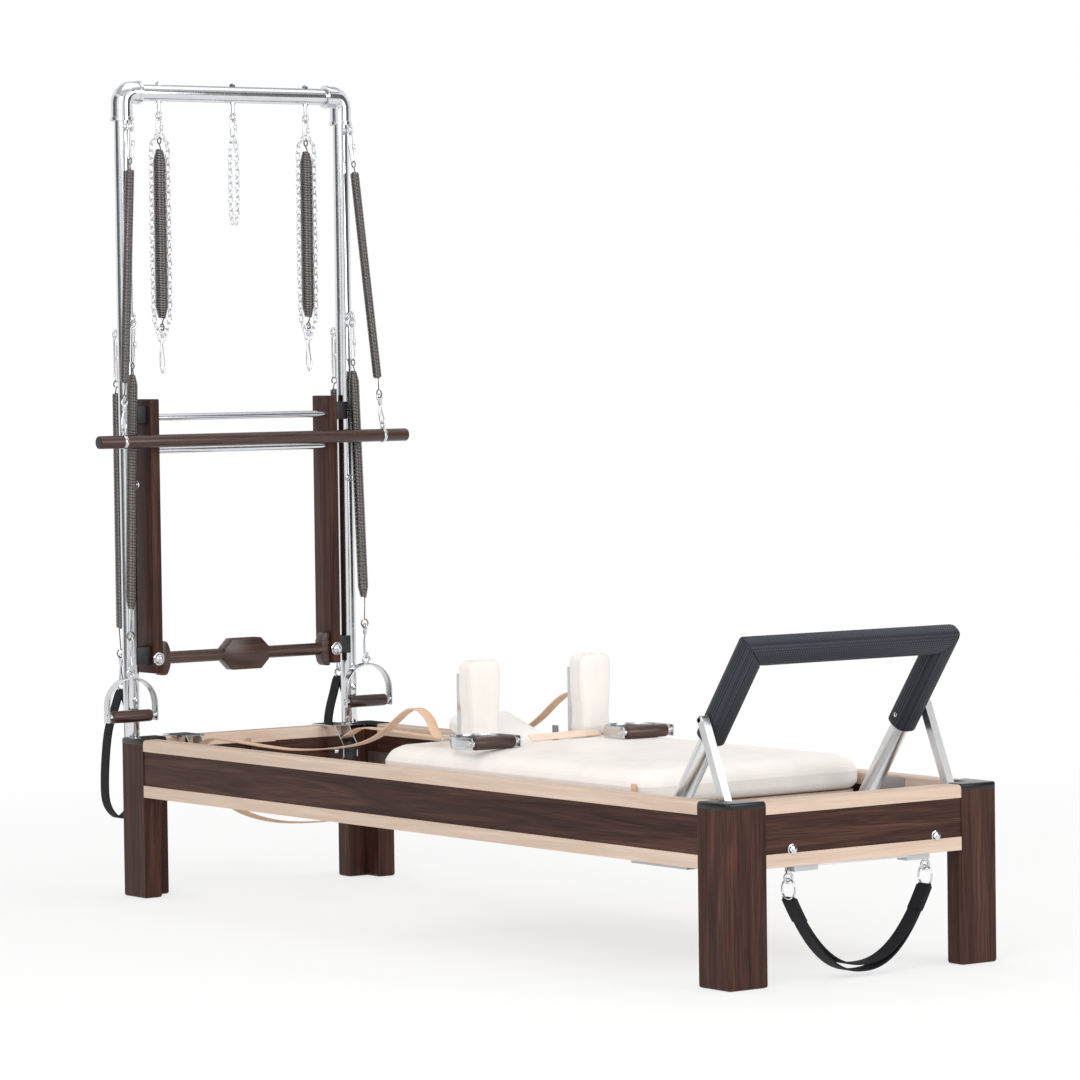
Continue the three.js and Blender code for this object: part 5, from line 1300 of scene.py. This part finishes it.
def build_roll_bar():
    r, bodies = ROLL_BAR, ("roll_bar_springs", "roll_down_bar")
    band_seat = BAND_EYE - BAND_WIRE - HARDWARE_WIRE - GAP
    for name, side in NEAR_FAR:
        start = at(front_eye(ROLL_EYE), side * POST_Y, ROLL_EYE["up"] - SEAT_DROP)
        end = at(r["at"], side * r["band_half"], BAND_EYE_UP + band_seat)
        wire, links = hung_spring(f"roll_spring_{name}", start, end, ROLL_SPRING, Y, Y)
        a, b = (start + (end - start) * share for share in ROLL_SHARES)
        stretched(wire, bronze_grey, "spring_steel", bodies, a, b, f"roll_bar_spring_{name}")
        stretched(joined(f"roll_spring_links_{name}", links), chrome, "chrome", bodies, a, b)
    half_profile = [(r["half"], 0), (r["half"], 13), (r["half"] - 0.9, 14.3), (r["half"] - 3, 15),
                    (200, 15)]
    profile = [(-a, b) for a, b in half_profile] + [(0, 15)] + half_profile[::-1]
    rod = turned("roll_down_rod", profile, at(r["at"], 0, r["up"]), Y, 48)
    piece(rod, "roll_down_bar", walnut_turned, "walnut", "roll_down_bar")
    trim = []
    for name, side in NEAR_FAR:
        y = side * r["band_half"]
        trim.append(turned(f"band_{name}", BAND, at(r["at"], y, r["up"]), Y, 40))
        trim.append(ring(f"band_eye_{name}", at(r["at"], y, BAND_EYE_UP), Y, BAND_EYE, BAND_WIRE))
    piece(joined("roll_bar_bands", trim), "roll_down_bar", chrome, "chrome")
    caps = [turned(f"rod_end_{name}", [(0, 0), (0, 12.6), (0.5, 12.2), (0.5, 0)],
                   at(r["at"], side * (r["half"] - 0.1), r["up"]), Y * side, 40)
            for name, side in NEAR_FAR]
    piece(joined("roll_bar_end_caps", caps), "roll_down_bar", black_plastic, "black_plastic")


HANDLE = {"half": 65, "wide": 25, "thick": 3, "tail": 12.5, "straight": 4}
HALF_GRIP = [(53, 0), (53, 11.4), (51.6, 13.4), (49, 14), (20, 14.3)]
GRIP = [(-a, b) for a, b in HALF_GRIP] + [(0, 14.4)] + HALF_GRIP[::-1]
GRIP_SCREW = [(0, 0), (0, 8), (1.2, 8), (2.4, 6.4), (2.4, 3), (1.6, 2.4), (1.6, 0)]
GRIP_COLLAR = [(0, 0), (0, 8.4), (11, 8.4), (11, 0)]
SWIVEL = [(0, 0), (0, 6), (4, 6), (5, 4.2), (9, 3.4), (9, 0)]


def handle_parts(name, place, reach):
    """A bent flat band with a turned grip across its mouth. Its eye is at place."""
    h, spot = HANDLE, within(place)
    half, straight, tail = h["half"], h["straight"] - reach, -reach - h["tail"]
    arch_up = -half - EYE_RING
    path = [spot(0, -half, tail), spot(0, -half, straight)]
    path += [spot(0, half * math.cos(math.pi - i / 20 * math.pi),
                  arch_up + half * math.sin(i / 20 * math.pi)) for i in range(21)]
    path += [spot(0, half, straight), spot(0, half, tail)]
    wide_way = (spot(1, 0, 0) - spot(0, 0, 0)).normalized()
    long_way = (spot(0, 1, 0) - spot(0, 0, 0)).normalized()
    band = [ribbon(f"{name}_band", path, wide_way, h["wide"], h["thick"], 4, ease=0.9),
            ring(f"{name}_eye", spot(0, 0, 0), wide_way, EYE_RING, EYE_WIRE),
            turned(f"{name}_swivel", SWIVEL, spot(0, 0, -EYE_RING - 3),
                   spot(0, 0, 1) - spot(0, 0, 0), 20)]
    for side in (-1, 1):
        band += [turned(f"{name}_screw", GRIP_SCREW, spot(0, side * (half + 1.4), -reach),
                        long_way * side, 24),
                 turned(f"{name}_collar", GRIP_COLLAR, spot(0, side * (half - 1.5), -reach),
                        long_way * -side, 24)]
    grip = turned(f"{name}_grip", GRIP, spot(0, 0, -reach), long_way, 40)
    return joined(f"{name}_band", band), grip


ARM_HANDLE = {"at": 16, "half": 331, "up": 514.5, "reach": 98.5}


def build_arm_springs():
    h = ARM_HANDLE
    for name, side in NEAR_FAR:
        start = at(front_eye(ARM_EYE), side * POST_Y, ARM_EYE["ring_up"] - SEAT_DROP)
        end = at(h["at"], side * h["half"], h["up"] + SEAT_DROP)
        wire, links = hung_spring(f"arm_spring_wire_{name}", start, end, ARM_SPRING, Y, X)
        piece(wire, f"arm_spring_{name}", bronze_grey, "spring_steel", f"arm_spring_{name}")
        piece(joined(f"arm_spring_links_{name}", links), f"arm_spring_{name}", chrome, "chrome")
        place = Matrix.Translation(at(h["at"], side * h["half"], h["up"]))
        band, grip = handle_parts(f"arm_handle_{name}", place, h["reach"])
        piece(band, f"arm_handle_{name}", satin, "chrome", f"arm_handle_{name}")
        piece(grip, f"arm_handle_{name}", walnut_turned, "walnut")


LOOP = {"at": -66, "wide": 34, "thick": 3, "top": 472, "bottom": 174, "half": 42, "waist": 265}
LEG_DRAW_TOP, LEG_DRAW_LOW = 1176, 600


def loop_shares():
    """The leg loop's shape as shares of its half width and of its height, all the way round."""
    waist = (LOOP["waist"] - LOOP["bottom"]) / (LOOP["top"] - LOOP["bottom"])
    upper = [(0, 1), (0.4, 0.87), (0.85, (1 + waist) / 2)]
    right = [*upper, (1, waist), (0.8, waist / 3), (0, 0)]
    return right + [(-a, b) for a, b in reversed(right[1:-1])]


def build_leg_springs():
    w = LOOP
    tall, x, ring_up = w["top"] - w["bottom"], w["at"], w["top"] + EYE_RING
    for name, side in NEAR_FAR:
        y = side * POST_Y
        start, end = at(x, y, LEG_EYE["up"] - SEAT_DROP), at(x, y, ring_up + SEAT_DROP)
        wire, links = hung_spring(f"leg_spring_wire_{name}", start, end, LEG_SPRING, X, X)
        bodies = (f"leg_spring_{name}", f"leg_loop_{name}")
        a, b = at(x, y, LEG_DRAW_TOP), at(x, y, LEG_DRAW_LOW)
        stretched(wire, bronze_grey, "spring_steel", bodies, a, b, f"leg_spring_{name}")
        stretched(joined(f"leg_spring_links_{name}", links), chrome, "chrome", bodies, a, b)
        keys = [at(x, y + a * w["half"] + side * (1 - b) * w["half"] / 4, w["top"] + (b - 1) * tall)
                for a, b in loop_shares()]
        loop = ribbon(f"leg_loop_tape_{name}", flowing(keys, 8, closed=True), X, w["wide"],
                      w["thick"], closed=True)
        top_eye = ring(f"leg_loop_ring_{name}", at(x, y, ring_up), X, EYE_RING, EYE_WIRE)
        piece(loop, f"leg_loop_{name}", tape, "webbing", f"leg_loop_{name}")
        piece(top_eye, f"leg_loop_{name}", chrome, "chrome")


# The chains' lines below the top eyes, as depth and share of their reach to the side
EYE_LOW = TOP_UP - PIPE + 1 - TOP_EYE_SHANK - EYE_RING - SEAT_DROP
HANG_LENGTH, FOOT_RING = 595.8, {"depth": 511, "radius": 11, "wire": 1.8}
SAFETY_REACH, CENTRE_REACH = 22, 10
SAFETY_LINE = ((36, 0), (52, 0.7), (78, 1), (200, 1.06), (330, 1.08), (450, 1), (485, 0.72),
               (508, 0.2))
CENTRE_LINE = ((38, 0.25), (70, 0.8), (140, 1), (215, 0.85), (247, 0.4))


def chain_line(y, reach, line):
    return flowing([at(POST_X, y + reach * share, EYE_LOW - depth) for depth, share in line], 6)


def build_hanging_springs():
    for name, side in NEAR_FAR:
        y, body = side * TOP_EYE_HALF, f"hanging_spring_{name}"
        start, end = at(POST_X, y, EYE_LOW), at(POST_X, y, EYE_LOW - HANG_LENGTH)
        wire, links = hung_spring(f"hanging_wire_{name}", start, end, HANG_SPRING, Y, Y,
                                  loaded=False)
        piece(wire, body, bronze_grey, "spring_steel", body)
        links.append(ring(f"hanging_foot_ring_{name}", at(POST_X, y, EYE_LOW - FOOT_RING["depth"]),
                          X, FOOT_RING["radius"], FOOT_RING["wire"]))
        links += [chain(f"hanging_chain_{name}_{out + 1}",
                        chain_line(y, out * SAFETY_REACH, SAFETY_LINE)) for out in (-1, 1)]
        piece(joined(f"hanging_links_{name}", links), body, chrome, "chrome")

    parts = quick_link("centre_link", at(POST_X, 0, EYE_LOW), -Z, Y, 45)
    parts += [chain(f"centre_run_{out + 1}", chain_line(0, out * CENTRE_REACH, CENTRE_LINE))
              for out in (-1, 1)]
    piece(joined("centre_chain_links", parts), "centre_chain", chrome, "chrome", "centre_chain")


# ---------------------------------------------------------------- pulleys, straps and belt
# Routes of the straps: from under the carriage to the pulley, and from there over the carriage
LOWER_ROUTE = [
    (1020, 225, 312.4), (985, 226, 312.4), (960, 228, 303), (900, 232, 264), (760, 240, 226),
    (600, 246, 206), (466, 246, 201), (330, 236, 212), (210, 216, 240), (150, 208, 262),
]
UPPER_ROUTES = {
    "near": [
        (126, 208, 350), (160, 208, 363), (195, 209, 368), (260, 211, 367), (350, 213, 364),
        (430, 214, 362), (510, 216, 362), (600, 220, 367), (700, 224, 377), (790, 228, 390),
        (850, 230, 405), (900, 231, 424), (945, 232, 449), (985, 232, 472), (1016, 232, 482),
        (1046, 232, 479), (1074, 232, 462), (1090, 232, 440), (1104, 232, 426), (1122, 232, 424)],
    "far": [
        (126, 208, 350), (160, 208, 363), (195, 208, 368), (260, 206, 368), (350, 205, 366),
        (430, 205, 364), (510, 206, 363), (600, 208, 366), (700, 210, 375), (790, 212, 390),
        (840, 213, 410), (880, 214, 432), (925, 214, 462), (965, 214, 484), (1000, 213, 492),
        (1036, 210, 486), (1066, 205, 466), (1086, 204, 444), (1102, 204, 429), (1122, 203, 424)],
}
LYING = {"near": {"y": -232, "turn": 2}, "far": {"y": 176, "turn": -3}}
LYING_AT, LYING_UP, LYING_REACH = 1305, 425.3, 116
PULLEY = {"at": 92, "half": 208, "up": 308, "radius": 28}
HALF_WHEEL = [(17, 0), (17, 30.5), (16, 32), (14.6, 32), (13.6, 30), (12.4, 28.2)]
WHEEL = [(-a, b) for a, b in HALF_WHEEL] + [(0, 27.9)] + HALF_WHEEL[::-1]
AXLE_END = [(17, 0), (17, 5), (25.6, 5), (25.6, 0)]
STRAP = {"wide": 25, "thick": 3, "wrap_start": -62, "wrap_turn": -218, "wrap_steps": 24}
STRAP_DRAW_START, STRAP_DRAW_END = (160, 0, 330), (1010, 0, 330)
STRIP_ROUTE = ((1206, -62, 418.6), (1201, -20, 418.9), (1194, 50, 419), (1188, 110, 418.9),
               (1185, 141, 418.6))
STRIP_TILT, STRIP_WIDE, STRIP_THICK = Vector((-0.8, 0, 0.6)), 20, 3.4


def build_pulley(name, side):
    centre = at(PULLEY["at"], side * PULLEY["half"], PULLEY["up"])
    wheel = turned(f"pulley_wheel_{name}", WHEEL, centre, Y, 56)
    piece(wheel, f"pulley_{name}", black_plastic, "black_plastic", f"pulley_{name}")
    caps = [turned(f"axle_{k}", AXLE_END, centre, Y * sense, 24) for k, sense in enumerate((-1, 1))]
    piece(joined(f"pulley_axle_{name}", caps), f"pulley_{name}", chrome, "chrome")


def strap_path(name, side):
    """The strap's middle line: below, round the pulley and above."""
    p, steps = PULLEY, STRAP["wrap_steps"]
    reach = p["radius"] + GAP + STRAP["thick"] / 2
    wrap = []
    for i in range(steps + 1):
        angle = math.radians(STRAP["wrap_start"] + STRAP["wrap_turn"] * i / steps)
        wrap.append(at(p["at"] + reach * math.cos(angle), side * p["half"],
                       p["up"] + reach * math.sin(angle)))
    lower, upper = (flowing([at(x, side * y, z) for x, y, z in route], 4)
                    for route in (LOWER_ROUTE, UPPER_ROUTES[name]))
    return lower + wrap + upper


def build_strap(name, side):
    """A strap, the link at its end and the handle that lies on the cushion."""
    path = strap_path(name, side)
    strap = ribbon(f"leather_strap_band_{name}", path, Y, STRAP["wide"], STRAP["thick"], ease=0.6)
    stretched(strap, tan_leather, "leather", ("frame", "carriage"),
              at(*STRAP_DRAW_START), at(*STRAP_DRAW_END), f"leather_strap_{name}")

    turn = math.radians(LYING[name]["turn"])
    out, over = math.cos(turn), math.sin(turn)
    eye = at(LYING_AT - LYING_REACH * out, LYING[name]["y"] - LYING_REACH * over, LYING_UP)
    seat = eye + Vector((out, over, 0)) * (2 * GAP + HARDWARE_WIRE - EYE_HOLE) * MM
    way = path[-1] - seat
    link = quick_link(f"strap_link_{name}", seat, way, Z, way.length / MM + 3 * HARDWARE_WIRE)
    piece(joined(f"strap_link_{name}", link), "carriage", chrome, "chrome")
    place = (Matrix.Translation(eye) @ Matrix.Rotation(turn, 4, "Z")
             @ Matrix.Rotation(-math.pi / 2, 4, "Y"))
    band, grip = handle_parts(f"strap_handle_{name}", place, LYING_REACH)
    piece(band, f"strap_handle_{name}", satin, "chrome", f"strap_handle_{name}")
    piece(grip, f"strap_handle_{name}", walnut_turned, "walnut")


def build_straps():
    dress(chrome, "riser_near", "riser_far")
    for name, side in NEAR_FAR:
        build_pulley(name, side)
        build_strap(name, side)
    strip = ribbon("leather_strip_band", flowing([at(*p) for p in STRIP_ROUTE], 6), STRIP_TILT,
                   STRIP_WIDE, STRIP_THICK, ease=0.9)
    piece(strip, "carriage", pale_leather, "leather", "leather_strip")


# Heights of the rail's underside and of the eye bolt's pad, and the ring at the belt's end
RAIL_LOW, EYE_PAD, PAD_BITE = 234, 12, 1
BELT_RING = {"length": 40, "wire": 2.5}
BELT_RING_LOOK = {"length": 41, "width": 45, "wire": 2.2, "rise": 1.5}
BELT_FOLD = {"shares": (0.99, 0.96, 0.92, 0.88, 0.84), "lift": 6, "thick": 10, "over": 1}


def build_belt():
    b, ends, hoop = BELT, BELT_RING, BELT_RING_LOOK
    eye_up = RAIL_LOW + PAD_BITE - EYE_PAD - BELT_EYE_SHANK - EYE_RING
    top = eye_up - EYE_HOLE + GAP + ends["wire"]
    low = top - ends["length"] + 2 * ends["wire"]
    depth = low - b["low"] - b["thick"] / 2

    def hanging(share, sag):
        return at(b["at"], share * b["half"], low - sag * (1 - abs(share) ** b["sag_power"]))
    plies = [ribbon(f"belt_ply_{k}", [hanging(i / 20 - 1, sag) for i in range(41)], X, b["wide"],
                    b["thick"]) for k, sag in enumerate((depth, depth - b["ply"]))]
    rings = []
    for name, side in NEAR_FAR:
        fold = [hanging(side * share, depth - BELT_FOLD["lift"]) for share in BELT_FOLD["shares"]]
        plies.append(ribbon(f"belt_tab_{name}", fold, X, b["wide"] + BELT_FOLD["over"],
                            BELT_FOLD["thick"], ease=1))
        place = at(b["at"], side * b["half"], top) + Z * hoop["rise"] * MM
        line = stadium(place, -Z, X, hoop["length"], hoop["width"], hoop["wire"], 12)
        rings.append(tube(f"belt_ring_{name}", line, hoop["wire"], closed=True, corners=3))
    piece(joined("foot_belt_tape", plies), "foot_belt", tape, "webbing", "foot_belt")
    piece(joined("foot_belt_rings", rings), "foot_belt", chrome, "chrome")


# ---------------------------------------------------------------- floor, light and camera
# Studio flags that only reflections see: azimuth in degrees, distance, width, height and paint
FLAGS = ((-122, 7.4, 5.0, 6.0, 0.16), (56, 7.4, 5.4, 6.0, 0.16), (-98, 7.0, 0.8, 6.0, 0.01),
         (-8, 7.0, 0.9, 6.0, 0.02), (30, 7.0, 0.8, 6.0, 0.01), (150, 7.0, 3.0, 5.0, 0.1),
         (-60, 7.2, 1.0, 6.0, 0.25))
CEILING = {"size": 9, "up": 5.6, "paint": 0.62}
FLOOR_RADIUS, FLOOR_UP = 14, -0.0006
# The floor's glow, from its share near the machine to its share far from it, in metres
GLOW = {"From Min": 1.6, "From Max": 4.0, "To Min": 0.68, "To Max": 1.0}
SOFT_LIGHT, SOFT_STRENGTH = (1.0, 0.99, 0.975), 0.76
LAMPS = (("key", (3.5, -4.5, 3.4), 3.0, 125), ("fill", (5.5, 2.2, 2.2), 3.0, 85),
         ("top", (-0.5, 0.5, 4.6), 3.5, 35))
LAMP_AIM = Vector((0, 0, 0.5))


def seen_plainly(tree):
    """1 for camera, glossy and transmission rays, which see the backdrop as plain white."""
    rays = tree.nodes.new("ShaderNodeLightPath").outputs
    seen = rays["Is Camera Ray"]
    for ray in ("Is Glossy Ray", "Is Transmission Ray"):
        either = tree.nodes.new("ShaderNodeMath")
        either.operation = "MAXIMUM"
        tree.links.new(seen, either.inputs[0])
        tree.links.new(rays[ray], either.inputs[1])
        seen = either.outputs[0]
    return seen


def mixed_surface(tree, share, lit, plain, surface):
    mix = tree.nodes.new("ShaderNodeMixShader")
    for source, target in zip((share, lit, plain), mix.inputs):
        tree.links.new(source, target)
    tree.links.new(mix.outputs[0], surface)


def build_floor():
    """A pale disc that keeps the shadow and glows to plain white away from the machine."""
    bpy.ops.object.select_all(action="DESELECT")
    bpy.ops.mesh.primitive_circle_add(vertices=96, radius=FLOOR_RADIUS, fill_type="NGON",
                                      location=(0, 0, FLOOR_UP))
    floor = bpy.context.active_object
    floor.name = "studio_floor"
    made = Shader("pale_floor", (0.9, 0.9, 0.9), 0.85)
    length = made.node("ShaderNodeVectorMath", operation="LENGTH")
    made.link(made.coordinates.outputs["Object"], length.inputs[0])
    spread = made.node("ShaderNodeMapRange")
    for socket, value in GLOW.items():
        spread.inputs[socket].default_value = value
    made.link(length.outputs["Value"], spread.inputs["Value"])
    share = made.maths("MULTIPLY", seen_plainly(made.tree), spread.outputs["Result"])
    glow = made.node("ShaderNodeEmission")
    mixed_surface(made.tree, share, made.shader.outputs[0], glow.outputs[0],
                  made.tree.nodes["Material Output"].inputs["Surface"])
    floor.data.materials.append(made.material)
    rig.stage(floor)


def flag(name, size, scale, turn, place, paint):
    """A painted board that only reflections see."""
    bpy.ops.object.select_all(action="DESELECT")
    bpy.ops.mesh.primitive_plane_add(size=size)
    board = bpy.context.active_object
    board.name = name
    board.scale, board.rotation_euler, board.location = scale, turn, place
    settle(board)
    board.data.materials.append(Shader(name, (paint, paint, paint), 0.9).material)
    board.visible_camera = board.visible_diffuse = board.visible_shadow = False
    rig.stage(board)


def build_world():
    """Soft light all round, with plain white behind the machine."""
    world = bpy.data.worlds.new("studio")
    bpy.context.scene.world = world
    world.use_nodes = True
    tree = world.node_tree
    tree.nodes.clear()
    lights = []
    for color, strength in ((SOFT_LIGHT, SOFT_STRENGTH), ((1, 1, 1), 1.0)):
        light = tree.nodes.new("ShaderNodeBackground")
        light.inputs["Color"].default_value = (*color, 1)
        light.inputs["Strength"].default_value = strength
        lights.append(light.outputs[0])
    surface = tree.nodes.new("ShaderNodeOutputWorld").inputs["Surface"]
    mixed_surface(tree, seen_plainly(tree), *lights, surface)


def build_stage():
    build_floor()
    for i, (azimuth, reach, width, tall, paint) in enumerate(FLAGS):
        turn = math.radians(azimuth)
        flag(f"studio_flag_{i}", 1, (width, tall, 1), (math.pi / 2, 0, turn + math.pi / 2),
             (reach * math.cos(turn), reach * math.sin(turn), tall / 2), paint)
    flag("studio_ceiling_flag", CEILING["size"], (1, 1, 1), (0, 0, 0), (0, 0, CEILING["up"]),
         CEILING["paint"])
    build_world()
    for name, place, size, power in LAMPS:
        lamp = bpy.data.lights.new(name, "AREA")
        lamp.size = size
        lamp.energy = power
        obj = bpy.data.objects.new(name, lamp)
        bpy.context.collection.objects.link(obj)
        obj.location = place
        obj.rotation_euler = (LAMP_AIM - Vector(place)).to_track_quat("-Z", "Y").to_euler()


# The photograph's camera: yaw, pitch and roll in degrees, and its focal length in pixels
CAMERA_TURNS, CAMERA_PLACE = (143.435, -2.349, -0.748), (8.4045, -6.169, 1.267)
FOCAL_PIXELS, PHOTO_WIDTH, SENSOR_WIDTH = 4795.84, 1080, 36


def build_camera():
    yaw, pitch, roll = (math.radians(a) for a in CAMERA_TURNS)
    forward = Vector((math.cos(pitch) * math.cos(yaw), math.cos(pitch) * math.sin(yaw),
                      math.sin(pitch)))
    right = forward.cross(Z).normalized()
    up = right.cross(forward)
    image_right = right * math.cos(roll) + up * math.sin(roll)
    image_up = up * math.cos(roll) - right * math.sin(roll)
    camera = bpy.data.objects.new("camera", bpy.data.cameras.new("camera"))
    bpy.context.collection.objects.link(camera)
    camera.matrix_world = standing(image_right, image_up, -forward, CAMERA_PLACE)
    camera.data.sensor_width = SENSOR_WIDTH
    camera.data.sensor_fit = "HORIZONTAL"
    camera.data.lens = FOCAL_PIXELS * SENSOR_WIDTH / PHOTO_WIDTH
    camera.data.clip_end = 100
    bpy.context.scene.camera = camera
    bpy.context.scene.view_settings.view_transform = "Standard"


build_camera()
build_stage()
build_bed()
build_carriage()
build_headrest()
build_bed_springs()
build_foot_bar()
build_posts()
build_top_bar()
build_slide_frame()
build_roll_bar()
build_arm_springs()
build_leg_springs()
build_hanging_springs()
build_straps()
build_belt()


def plain(box):
    """A box's corners as lists of numbers that JSON can hold."""
    return [[float(c) for c in corner] for corner in box]


with open("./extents.json", "w") as file:
    json.dump({"cad": plain(cad_box), "visual": plain(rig.bounds())}, file)
